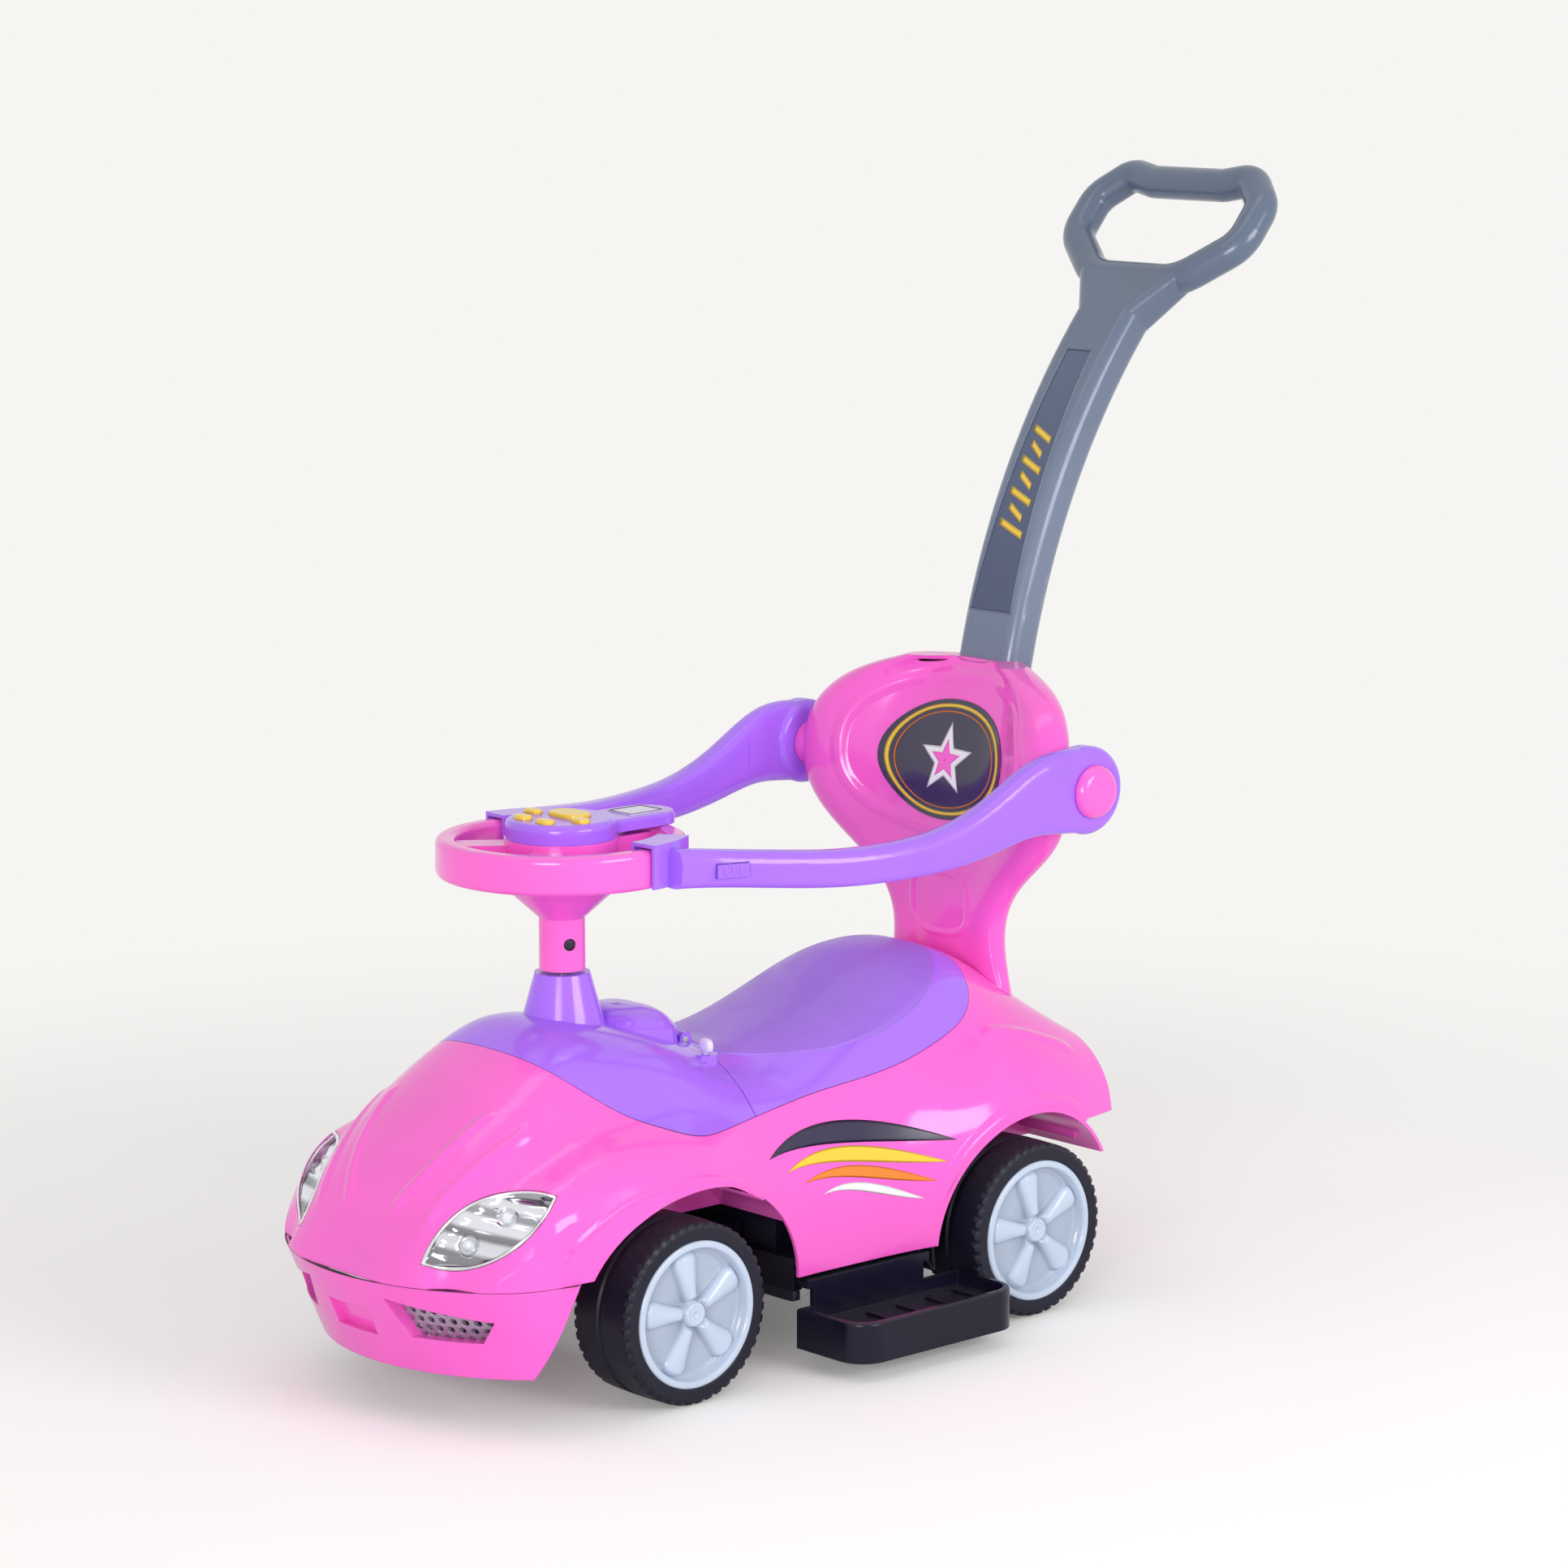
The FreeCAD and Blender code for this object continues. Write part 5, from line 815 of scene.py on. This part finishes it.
class PUSHCAR_OT_side_stripes(bpy.types.Operator):
    """Four swept stripes laid on each side of the body, below the seat."""
    bl_idname = "pushcar.side_stripes"
    bl_label = "Side stripes"

    def execute(self, context):
        side_x = side_fit()
        for number, (finish, upper, lower) in enumerate(SIDE_STRIPES, 1):
            y, z = np.moveaxis(strip(bezier(upper, 61), bezier(lower, 61)) * MM, -1, 0)
            points = np.stack([side_x(y, z) + STICKER_GAP, y, z], -1)
            pair(f"side_stripe_{{}}_{number}", points, ASIDE, finish, slot="body_pink",
                 wall=context.scene.push_car_sizes.sticker)
        return {"FINISHED"}


BADGE_RINGS = {"badge_ring": ("button_yellow", 0.93, 0.87), "badge_inner_ring": ("stripe_orange", 0.81, 0.79)}
STAR = {"tips": 5, "outer": 0.64, "inner": 0.27, "heart": 0.55, "hole": 0.02}


def badge_fit():
    """The badge plate's front as a polynomial depth over its width and height."""
    centres, normals, corners = node_faces("backrest_badge")
    pick = normals[:, 1] < -0.5
    p = np.concatenate([corners[pick].reshape(-1, 3), centres[pick]])
    return fitted(p[:, 0], p[:, 2], p[:, 1], 5)


class PUSHCAR_OT_badge(bpy.types.Operator):
    """Two rings and a plain star printed on the oval plate of the backrest."""
    bl_idname = "pushcar.badge"
    bl_label = "Backrest badge"

    def execute(self, context):
        depth = badge_fit()
        low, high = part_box("backrest_badge")
        half, middle = (high - low) / 2, (high + low) / 2
        sticker = context.scene.push_car_sizes.sticker
        turn = turns(120)
        oval = np.stack([half.x * np.cos(turn), half.z * np.sin(turn)], -1)
        corner = np.arange(2 * STAR["tips"])
        turn = turns(2 * STAR["tips"]) + TURN / 4
        reach = half.z * np.where(corner % 2, STAR["inner"], STAR["outer"])
        star = spaced(np.stack([reach * np.cos(turn), reach * np.sin(turn)], -1), 2 * MM)
        heart = star * STAR["heart"]
        layers = [(name, finish, strip(oval * outer, oval * inner, 4), sticker)
                  for name, (finish, outer, inner) in BADGE_RINGS.items()]
        layers.append(("badge_star", "stripe_white", strip(star, star * STAR["hole"], 10), sticker))
        layers.append(("badge_star_heart", "body_pink", strip(heart, heart * STAR["hole"], 8), sticker * 2))
        for name, finish, flat, wall in layers:
            x, z = flat[..., 0] + middle.x, flat[..., 1] + middle.z
            points = np.stack([x, depth(x, z) - STICKER_GAP / 2, z], -1)
            sheet(name, points, FORWARD, finish, slot="badge_dark", wrap=(True, False), wall=wall)
        return {"FINISHED"}


# The handle's panel lies on a bow about a line across the car.
BOW = {"centre": np.array((784.73, 347.28)) * MM, "panel": 605.5 * MM, "face": 604.9 * MM,
       "lean": math.radians(13), "top": math.radians(40), "look": (0, -1, 0.5)}
PANEL = {"first": 0.10, "last": 0.86, "low_half": 21 * MM, "high_half": 12.5 * MM,
         "line": (0.4 * MM, 1.5 * MM)}
BARS = {"places": np.linspace(0.30, 0.66, 7), "half": 0.014, "slant": -0.008, "short": 0.62}


def on_bow(x, angle, radius):
    """A point on the bent handle: x across, and an angle of lean on a circle about the bow's centre."""
    y, z = BOW["centre"]
    return np.stack([x, y - radius * np.cos(angle), z + radius * np.sin(angle)], -1)


class PUSHCAR_OT_handle_trim(bpy.types.Operator):
    """A thin outline round the handle's panel, and a row of yellow bars on it."""
    bl_idname = "pushcar.handle_trim"
    bl_label = "Handle trim"

    def execute(self, context):
        sticker = context.scene.push_car_sizes.sticker
        span = BOW["top"] - BOW["lean"]
        first, last = (BOW["lean"] + PANEL[end] * span for end in ("first", "last"))
        loop = spaced(np.array(((-1.0, 0), (1, 0), (1, 1), (-1, 1))), 0.02)

        def bound(grow):
            more = grow / BOW["panel"]
            angle = first - more + loop[:, 1] * (last - first + 2 * more)
            half = PANEL["low_half"] + (PANEL["high_half"] - PANEL["low_half"]) * loop[:, 1] + grow
            return on_bow(loop[:, 0] * half, angle, BOW["panel"] + 0.02 * MM)

        sheet("handle_panel_outline", strip(*map(bound, PANEL["line"]), 3), BOW["look"], "line_grey",
              "handle", "handle_grey", (True, False), sticker)
        for number, place in enumerate(BARS["places"], 1):
            half = (15.5 - 7.5 * place) * MM * (1.0 if number % 2 else BARS["short"])
            x = np.linspace(-half, half, 9)
            ends = first + (last - first) * (place + np.array((-1, 1)) * BARS["half"])
            edges = [on_bow(x, end + BARS["slant"] * x / half, BOW["face"]) for end in ends]
            sheet(f"handle_bar_{number}", strip(*edges, 4), BOW["look"], "button_yellow", "handle",
                  "panel_grey", wall=sticker)
        return {"FINISHED"}


# Moulded lines of the shell: axes are the two of a face's plan and the one of its height.
OVER, BESIDE, BEFORE = (0, 1, 2), (1, 2, 0), (0, 2, 1)
NEAREST, FEWEST_FACES, SPOTS_AT_ONCE = 10, 20, 250
FACE_MARGIN, FACE_DEPTH = 12 * MM, 4 * MM
BEAD_SUNK = 0.10 * MM
SEAM_Z, SEAM_Y, SEAM_TURN = 106 * MM, -300 * MM, math.radians(78)
HOOD_LINES = (
    ((54.3, -331.7), (50.4, -354.2), (42.7, -373.6), (33.6, -392.0), (18.1, -405.3)),
    ((82.0, -316.0), (78.5, -338.0), (69.7, -370.0), (62.1, -389.4), (55.0, -408.0)),
)
ARCH_LINE = ((-349.0, 118.0), (-332.0, 132.5), (-308.0, 147.5), (-275.0, 158.0), (-245.0, 161.5),
             (-215.0, 161.0), (-180.0, 152.0), (-150.0, 134.0))
REAR_ARCH = {"radius": 97.0, "turns": (168.0, 52.0)}
DECK_LINE = ((100.0, 92.0), (104.0, 116.0), (108.0, 140.0), (111.0, 160.0), (114.0, 184.0))
BACKREST_RINGS = {"backrest_border": ((2, 404), (97, 58), 2.4, 8.0, 2.2),
                  "neck_border": ((0, 291), (30, 24), 3.0, 4.5, 1.5)}


def outer_face(name, axes, window, way, steps=6):
    """A node's outer face over a window of two axes. The height at a place, and its slopes, are those of
    the faces' planes at the nearest of many spots spread over the triangles, weighted by closeness."""
    centres, normals, corners = node_faces(name)
    low, high = np.array(window[:2]) - FACE_MARGIN, np.array(window[2:]) + FACE_MARGIN
    here = centres[:, axes[:2]]
    pick = ((here > low) & (here < high)).all(1) & (normals @ np.asarray(way) > LEAST_FACING)
    if pick.sum() < FEWEST_FACES:
        raise RuntimeError(f"too few faces to follow on {name}")
    i, j = np.meshgrid(np.arange(steps), np.arange(steps))
    i, j = i[i + j < steps], j[i + j < steps]
    share = (np.stack([i, j, steps - 1 - i - j], -1) + 1 / 3) / steps
    spots = np.einsum("sk,fkx->fsx", share, corners[pick]).reshape(-1, 3)
    lean = np.repeat(normals[pick], len(share), 0)
    flat, rise = spots[:, axes[:2]], spots[:, axes[2]]
    slope = -lean[:, axes[:2]] / lean[:, axes[2:]]

    def height(a, b):
        spot = np.stack([np.ravel(a), np.ravel(b)], -1)
        found = np.empty((len(spot), 3))
        for rows in np.array_split(np.arange(len(spot)), len(spot) // SPOTS_AT_ONCE + 1):
            gap = ((spot[rows, None, :] - flat[None]) ** 2).sum(-1)
            best = np.argpartition(gap, NEAREST, axis=1)[:, :NEAREST]
            front = rise[best] * np.sign(way[axes[2]])
            weight = front > front.max(1, keepdims=True) - FACE_DEPTH
            weight = weight / (np.take_along_axis(gap, best, 1) + 1e-9)
            weight /= weight.sum(1, keepdims=True)
            plane = rise[best] + ((spot[rows, None, :] - flat[best]) * slope[best]).sum(-1)
            found[rows, 0] = (plane * weight).sum(1)
            found[rows, 1:] = (slope[best] * weight[..., None]).sum(1)
        return [found[:, k].reshape(np.shape(a)) for k in range(3)]
    return height


def laid(a, b, face, axes, lift, sign=1):
    """Points on a node's face, lifted along its normal, which is (-dw/da, -dw/db, 1) made unit long."""
    height, da, db = face(a, b)
    out = sign * lift / np.sqrt(1 + da ** 2 + db ** 2)
    points = np.empty((*a.shape, 3))
    for axis, values in zip(axes, (a - da * out, b - db * out, height + out)):
        points[..., axis] = values
    return points


def bead_points(path, name, axes, way, half, rise, closed=False):
    """A low ridge along a path on a node: its height across is a squared cosine, faded out at open ends."""
    face = outer_face(name, axes, (*path.min(0), *path.max(0)), way)
    ends = (np.roll(path, -1, 0) - np.roll(path, 1, 0)) / 2 if closed else np.gradient(path, axis=0)
    ends = unit(ends)
    s = np.linspace(-1, 1, 17)[None, :]
    a = path[:, :1] - ends[:, 1:] * s * half
    b = path[:, 1:] + ends[:, :1] * s * half
    t = np.linspace(0, 1, len(path))[:, None]
    fade = 1 if closed else smoothstep(np.minimum(t, 1 - t), 0, 0.16)
    return laid(a, b, face, axes, rise * np.cos(s * QUARTER) ** 2 * fade - BEAD_SUNK, np.sign(way[axes[2]]))


def edge_reach(name, turn):
    """How far a node's outer edge at the seam reaches from the seam's middle, at each turn round it."""
    spots = node_faces(name)[2].reshape(-1, 3)
    spots = spots[(np.abs(spots[:, 2] - SEAM_Z) < 0.4 * MM) & (spots[:, 1] < -255 * MM)]
    round_it = np.arctan2(spots[:, 0], SEAM_Y - spots[:, 1])
    reach = np.hypot(spots[:, 0], SEAM_Y - spots[:, 1])
    near = np.abs(round_it[:, None] - round_it[None, :]) < math.radians(7)
    outer = reach > np.where(near, reach[None, :], 0).max(1) - 2.2 * MM
    order = np.argsort(round_it[outer])
    return np.interp(turn, round_it[outer][order], reach[outer][order])


def seam_points():
    """A dark sheet of painted shade in the seam over the bumper, from the shell's lower edge to just inside
    the bumper's rim.
    """
    turn = np.linspace(-1, 1, 141) * SEAM_TURN
    rim = edge_reach("front_bumper", turn) - 0.5 * MM
    reach = np.stack([np.minimum(edge_reach("body_shell", turn), rim - 1.2 * MM), rim], -1)
    return np.stack([reach * np.sin(turn)[:, None], SEAM_Y - reach * np.cos(turn)[:, None],
                     np.full(reach.shape, SEAM_Z - 0.1 * MM)], -1)


class PUSHCAR_OT_shell_lines(bpy.types.Operator):
    """Moulded ridges on the hood, arches and deck, a dark sheet of painted shade in the seam over the bumper,
    and the raised borders of the backrest."""
    bl_idname = "pushcar.shell_lines"
    bl_label = "Moulded lines"

    def execute(self, context):
        turn = np.radians(np.linspace(*REAR_ARCH["turns"], 91))[:, None]
        rear_arch = np.concatenate([np.cos(turn), np.sin(turn)], 1) * REAR_ARCH["radius"] + REAR_AXLE
        lines = [(f"hood_ridge_{number}", smooth_path(places), OVER, (0, -0.4, 0.9), 6.5, 2.2)
                 for number, places in enumerate(HOOD_LINES, 1)]
        lines += [("arch_line", smooth_path(ARCH_LINE, 91, 5), BESIDE, ASIDE, 4, 1.5),
                  ("rear_arch_line", rear_arch * MM, BESIDE, ASIDE, 7, 2.6),
                  ("deck_line_1", smooth_path(DECK_LINE), OVER, (0.3, 0.2, 0.9), 7, 2.0)]
        for name, path, axes, way, half, rise in lines:
            points = bead_points(path, "body_shell", axes, way, half * MM, rise * MM)
            pair(name + "_{}", points, ASIDE if axes is BESIDE else UP, "body_pink")
        # A black sheet paints the shade in the gap between the shell and the bumper.
        sheet("bumper_seam", seam_points(), UP, "black_matte", wall=0.08 * MM)
        for name, (centre, half, power, wide, rise) in BACKREST_RINGS.items():
            points = bead_points(round_path(centre, half, power), "backrest_front", BEFORE, FORWARD,
                                 wide * MM, rise * MM, True)
            sheet(name, points, FORWARD, "body_pink", wrap=(True, False))
        return {"FINISHED"}


# Seat
SEAT_WINDOW = (-0.09, -0.13, 0.09, 0.11)
SEAT_EDGE = np.array(((-128.0, 46.0), (-100.0, 54.0), (-68.0, 63.7), (-36.5, 74.5), (5.6, 80.5), (45.7, 79.5),
                      (73.1, 71.0), (94.7, 53.5), (104.0, 34.0))) * MM
PAD = {"rows": 71, "columns": 49, "rise": 1.1 * MM, "rounding": 2.2 * MM, "sunk": 0.12 * MM}


def pad_points():
    """The seat's top inside an edge that is smoothed along the car and rounded at its tail, lifted over
    the seat by a quarter circle from the edge inwards."""
    edge = SEAT_EDGE
    y = np.linspace(edge[0, 0], edge[-1, 0] + 5 * MM, PAD["rows"])
    wide = np.interp(y, edge[:, 0], edge[:, 1])
    wide = np.convolve(np.pad(wide, 4, mode="edge"), np.ones(9) / 9, "valid")
    tail = np.clip((y - 90 * MM) / (19 * MM), 0, 1)
    wide = (wide * np.sqrt(1 - tail ** 3 * 0.96))[:, None]
    s = np.sin(np.linspace(-1, 1, PAD["columns"]) * QUARTER)[None, :]
    a = wide * s
    b = np.broadcast_to(y[:, None], a.shape)
    border = np.minimum((1 - np.abs(s)) * wide, np.minimum(b - y[0], y[-1] - b))
    lift = PAD["rise"] * np.sqrt(1 - (1 - np.clip(border / PAD["rounding"], 0, 1)) ** 2) - PAD["sunk"]
    return laid(a, b, outer_face("seat", OVER, SEAT_WINDOW, UP, 4), OVER, lift)


class PUSHCAR_OT_seat_pad(bpy.types.Operator):
    """The matte top of the seat, a little proud of its glossy sides, in a darker purple that is partly
    painted shade.
    """
    bl_idname = "pushcar.seat_pad"
    bl_label = "Seat pad"

    def execute(self, context):
        points = pad_points()
        if not np.isfinite(points).all():
            raise RuntimeError("the seat could not be fitted")
        sheet("seat_pad", points, UP, "seat_pad", "seat", "seat_purple")
        return {"FINISHED"}


# Underside and small trim, in millimetres
GUARD = {"radius": 87.5, "turns": (-13, 64), "start": (20.9, 57.0), "across": (60, 122), "wall": 1.6}
SKIRT = {"x": 87, "z": 49.9, "half": (27, 3.9, 4.4), "ends": {"front": -102.4, "rear": 17.4}}
ARM_TURN = math.radians(-20)
LATCH = {"centre": (120.0, -169.45, 372.92), "out": 2.3, "shifts": (-6.0, 0.0, 6.0), "half": (0.9, 1.3, 3.9)}
SCREW_WELL_SHADE = {"centre": (0, -226.15, 312.0), "out": 15.2, "half": (0.35, 4.3, 4.3)}
DASH_HUMP = {"centre": (0, -174.5, 226), "half": (45, 33, 33)}
KEY = {"half": (6.4, 3.5, 5.4), "drop": 5.5, "stem_drop": 9, "stem": 2.5, "bore": 0.2}
LABEL_LINE, LABEL_GAP = (0.3, 1.5), 0.03


def guard_points():
    """A mudguard: a profile from the rail up round the rear tyre at one reach, carried across the well."""
    turn = np.radians(np.linspace(*GUARD["turns"], 45))
    arc = np.stack([REAR_AXLE[0] - GUARD["radius"] * np.cos(turn),
                    REAR_AXLE[1] + GUARD["radius"] * np.sin(turn)], -1)
    lead = np.linspace(GUARD["start"], arc[0] + (-0.8, 1), 6)
    profile = np.concatenate([lead, arc]) * MM
    profile[1:-1] = (profile[:-2] + 2 * profile[1:-1] + profile[2:]) / 4
    across = np.linspace(*GUARD["across"], 13)[None, :] * MM
    return np.stack(np.broadcast_arrays(across, profile[:, :1], profile[:, 1:]), -1)


class PUSHCAR_OT_under_trim(bpy.types.Operator):
    """Dark mudguards before the rear tyres, and skirts under the ends of the footrest rails."""
    bl_idname = "pushcar.under_trim"
    bl_label = "Underside"

    def execute(self, context):
        pair("mudguard_{}", guard_points(), (0, 1, 0), "black_matte", wall=GUARD["wall"] * MM)
        for end, y in SKIRT["ends"].items():
            skirt = superellipsoid(SKIRT["half"], 9.0) + np.array((SKIRT["x"], y, SKIRT["z"])) * MM
            for side, sign in SIDES:
                solid(f"rail_skirt_{end}_{side}", skirt * (sign, 1, 1), "black_matte")
        return {"FINISHED"}


def on_arm(points, place, shift=0.0):
    """Points turned about the upright with the guard arm's end, moved out of its face and along it."""
    out = np.array((math.cos(ARM_TURN), math.sin(ARM_TURN), 0))
    run = np.array((-math.sin(ARM_TURN), math.cos(ARM_TURN), 0))
    middle = (np.array(place["centre"]) + out * place["out"] + run * shift) * MM
    return points[..., :1] * out + points[..., 1:2] * run + points[..., 2:] * UP + middle


class PUSHCAR_OT_small_trim(bpy.types.Operator):
    """Finger ribs on the latches, a dark disc of painted shade in the screw well, the dash hump, a rounded
    key and a frame round the label."""
    bl_idname = "pushcar.small_trim"
    bl_label = "Small trim"

    def execute(self, context):
        for side, sign in SIDES:
            for number, shift in enumerate(LATCH["shifts"], 1):
                rib = on_arm(superellipsoid(LATCH["half"], 4.0), LATCH, shift)
                solid(f"latch_rib_{side}_{number}", rib * (sign, 1, 1), "purple_gloss", f"latch_{side}")
        # A black disc paints the shade inside the screw's hole in the sleeve.
        well = on_arm(superellipsoid(SCREW_WELL_SHADE["half"], 2.0, 17, 32), SCREW_WELL_SHADE)
        solid("screw_well", well, "black_matte", "steering")
        hump = superellipsoid(DASH_HUMP["half"], 3.0, 33, 72) + np.array(DASH_HUMP["centre"]) * MM
        solid("dash_hump", hump, "purple_gloss")
        self.key()
        self.label(context.scene.push_car_sizes.sticker)
        return {"FINISHED"}

    def key(self):
        """A rounded block for the bow, and a turned stem below it."""
        low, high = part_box("ignition_key")
        x, y = (low.x + high.x) / 2, (low.y + high.y) / 2
        bow = superellipsoid(KEY["half"], 2.6) + (x, y, high.z - KEY["drop"] * MM)
        solid("key_bow", bow, "key_white", "key", stands_for=["ignition_key"])
        tall, wide, bore = high.z - KEY["stem_drop"] * MM - low.z, KEY["stem"] * MM, KEY["bore"] * MM
        stem = lathe(rounded_profile([(0, bore, 0.05 * MM), (0, wide, 0.3 * MM), (tall, wide, 0.3 * MM),
                                      (tall, bore, 0.05 * MM)], 4), 32)
        solid("key_stem", stem[..., [1, 2, 0]] + (x, y, low.z), "key_white", "key", ring=True)

    def label(self, sticker):
        """A strip between two superellipses just inside the label's edge."""
        low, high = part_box("horn_label")
        half, middle = (high - low) / 2, (high + low) / 2
        edge = round_path((0, 0), (1 / MM, 1 / MM), 14)
        level = np.full(len(edge), high.z + LABEL_GAP * MM)
        loops = [np.stack([middle.x + edge[:, 0] * (half.x - d * MM),
                           middle.y + edge[:, 1] * (half.y - d * MM), level], -1) for d in LABEL_LINE]
        sheet("label_frame", strip(*loops, 3), UP, "stripe_navy", "steering", "label_pale", (True, False),
              sticker)


class PUSHCAR_OT_finishes(bpy.types.Operator):
    """Gives every carried-over node the finish of its material slot."""
    bl_idname = "pushcar.finishes"
    bl_label = "Finishes"

    def execute(self, context):
        made = finishes()
        for name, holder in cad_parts.items():
            for place in holder.material_slots:
                wanted = place.material.name.split(".")[0]
                if wanted not in made:
                    raise RuntimeError(f"no finish for {name}: {wanted}")
                place.material = made[wanted]
            if not holder.material_slots:
                raise RuntimeError(f"{name} has no material slot")
        return {"FINISHED"}


# Stage: each lamp has a place, a target, a size and the name of its power
LAMPS = {"Key lamp": ((2.8, 0.4, 1.3), (0, -0.1, 0.3), (1.5, 1.1), "key"),
         "Top lamp": ((-0.1, -0.4, 2.3), (0, -0.2, 0.2), (0.35, 2.0), "top"),
         "Front lamp": ((1.9, -2.7, 0.85), (0, -0.1, 0.3), (1.1, 0.9), "front")}
FLOOR_FADE = (0.6, 1.5)
FLOOR_LIFT = 0.165


def floor_finish(colour):
    """A pale floor near the car that fades to the backdrop's own colour further out."""
    made, tree, shader = new_material("Pale floor")
    coords = object_coords(tree)
    mottle = spread(tree, noise(tree, coords, 3.0, 2.0, (-700, 200)), 0.3, 0.7, 0.0, 1.0, (-500, 200))
    fill(shader, {
        "Base Color": blend_colours(tree, mottle, colour, darker(colour, 0.99), (-300, 200)),
        "Roughness": 0.9, "Specular IOR Level": 0.1})
    away = node(tree, "ShaderNodeVectorMath", (-700, -200), {0: coords}, operation="LENGTH").outputs["Value"]
    far = spread(tree, away, *FLOOR_FADE, 0.0, 1.0, (-500, -200), interpolation_type="SMOOTHSTEP")
    seen = node(tree, "ShaderNodeLightPath", (-700, -450)).outputs["Is Camera Ray"]
    lift = node(tree, "ShaderNodeEmission", (-300, -450), {
        "Color": darker(colour, FLOOR_LIFT), "Strength": seen})
    near = node(tree, "ShaderNodeAddShader", (0, 100), {0: shader.outputs[0], 1: lift.outputs[0]})
    glow = node(tree, "ShaderNodeEmission", (-100, -200), {"Color": colour})
    fill(tree.nodes["Material Output"], {"Surface": blend_shaders(tree, far, near, glow, (150, 0))})
    return made


def light_world(colour, strength):
    """Camera, glossy and transmission rays see the backdrop's colour; the rest is even light."""
    world = bpy.data.worlds.new("Studio")
    world.use_nodes = True
    tree = world.node_tree
    plain = tree.nodes["Background"]
    fill(plain, {"Color": WHITE, "Strength": strength})
    seen = node(tree, "ShaderNodeBackground", (0, -200), {"Color": colour})
    rays = node(tree, "ShaderNodeLightPath", (-600, 200)).outputs
    share = reckon(tree, "MAXIMUM", rays["Is Camera Ray"], rays["Is Glossy Ray"], (-400, 200))
    share = reckon(tree, "MAXIMUM", share, rays["Is Transmission Ray"], (-200, 200))
    fill(tree.nodes["World Output"], {"Surface": blend_shaders(tree, share, plain, seen, (250, 0))})
    bpy.context.scene.world = world


def add_lamp(name, place, target, size, power):
    """An area lamp that looks from its place at a target."""
    lamp = bpy.data.lights.new(name, "AREA")
    lamp.shape = "RECTANGLE"
    lamp.size, lamp.size_y = size
    lamp.energy = power
    made = add_object(name, lamp)
    made.location = place
    x, y, z = np.subtract(target, place)
    made.rotation_euler = (math.atan2(math.hypot(x, y), -z), 0, math.atan2(-x, y))


class PUSHCAR_OT_stage(bpy.types.Operator):
    """Floor, lamps, even light and the camera."""
    bl_idname = "pushcar.stage"
    bl_label = "Stage"

    def execute(self, context):
        scene = context.scene
        stage = scene.push_car_stage
        colour = linear(scene.push_car_colours.floor)
        rows, columns = 96, 12
        turn = turns(rows)[:, None]
        reach = np.linspace(0.001, 1, columns)[None, :] ** 2 * stage.floor_radius
        level = np.full((rows, columns), -0.2 * MM)
        flat = np.stack([reach * np.cos(turn), reach * np.sin(turn), level], -1).reshape(-1, 3)
        mesh = bpy.data.meshes.new("floor")
        mesh.from_pydata(flat, [], facing(flat, grid_faces(rows, columns, True, False), UP))
        mesh.materials.append(floor_finish(colour))
        add_object("floor", mesh)
        light_world(colour, stage.world)
        for name, (place, target, size, power) in LAMPS.items():
            add_lamp(name, place, target, size, getattr(stage, power))
        camera = bpy.data.cameras.new("Camera")
        camera.lens = stage.lens
        camera.sensor_width = 36.0
        camera.sensor_fit = "HORIZONTAL"
        camera.clip_end = 60.0
        scene.camera = add_object("Camera", camera)
        scene.camera.location = stage.camera_place
        scene.camera.rotation_euler = stage.camera_turn
        scene.view_settings.view_transform = "Standard"
        return {"FINISHED"}


OPERATORS = (PUSHCAR_OT_finishes, PUSHCAR_OT_tyres, PUSHCAR_OT_hubcaps, PUSHCAR_OT_lamps,
             PUSHCAR_OT_shell_lines, PUSHCAR_OT_under_trim, PUSHCAR_OT_seat_pad, PUSHCAR_OT_small_trim,
             PUSHCAR_OT_side_stripes, PUSHCAR_OT_badge, PUSHCAR_OT_handle_trim, PUSHCAR_OT_stage)
GROUPS = (("push_car_colours", PushCarColours), ("push_car_sizes", PushCarSizes),
          ("push_car_stage", PushCarStage))


class PUSHCAR_PT_panel(bpy.types.Panel):
    """Lists the steps that dress the push car."""
    bl_idname = "PUSHCAR_PT_panel"
    bl_label = "Push Car"
    bl_space_type = "VIEW_3D"
    bl_region_type = "UI"
    bl_category = "Push Car"

    def draw(self, context):
        for made in OPERATORS:
            self.layout.operator(made.bl_idname, text=made.bl_label)
        for name, kind in GROUPS:
            for label in kind.__annotations__:
                self.layout.prop(getattr(context.scene, name), label)


def register():
    for name, made in GROUPS:
        bpy.utils.register_class(made)
        setattr(bpy.types.Scene, name, bpy.props.PointerProperty(type=made))
    for made in (*OPERATORS, PUSHCAR_PT_panel):
        bpy.utils.register_class(made)


def unregister():
    for made in (PUSHCAR_PT_panel, *reversed(OPERATORS)):
        bpy.utils.unregister_class(made)
    for name, made in reversed(GROUPS):
        delattr(bpy.types.Scene, name)
        bpy.utils.unregister_class(made)


def main():
    register()
    bpy.ops.pushcar.finishes()
    bpy.ops.pushcar.tyres()
    bpy.ops.pushcar.hubcaps()
    bpy.ops.pushcar.lamps()
    bpy.ops.pushcar.shell_lines()
    bpy.ops.pushcar.under_trim()
    bpy.ops.pushcar.seat_pad()
    bpy.ops.pushcar.small_trim()
    bpy.ops.pushcar.side_stripes()
    bpy.ops.pushcar.badge()
    bpy.ops.pushcar.handle_trim()
    bpy.ops.pushcar.stage()


if __name__ == "__main__":
    main()
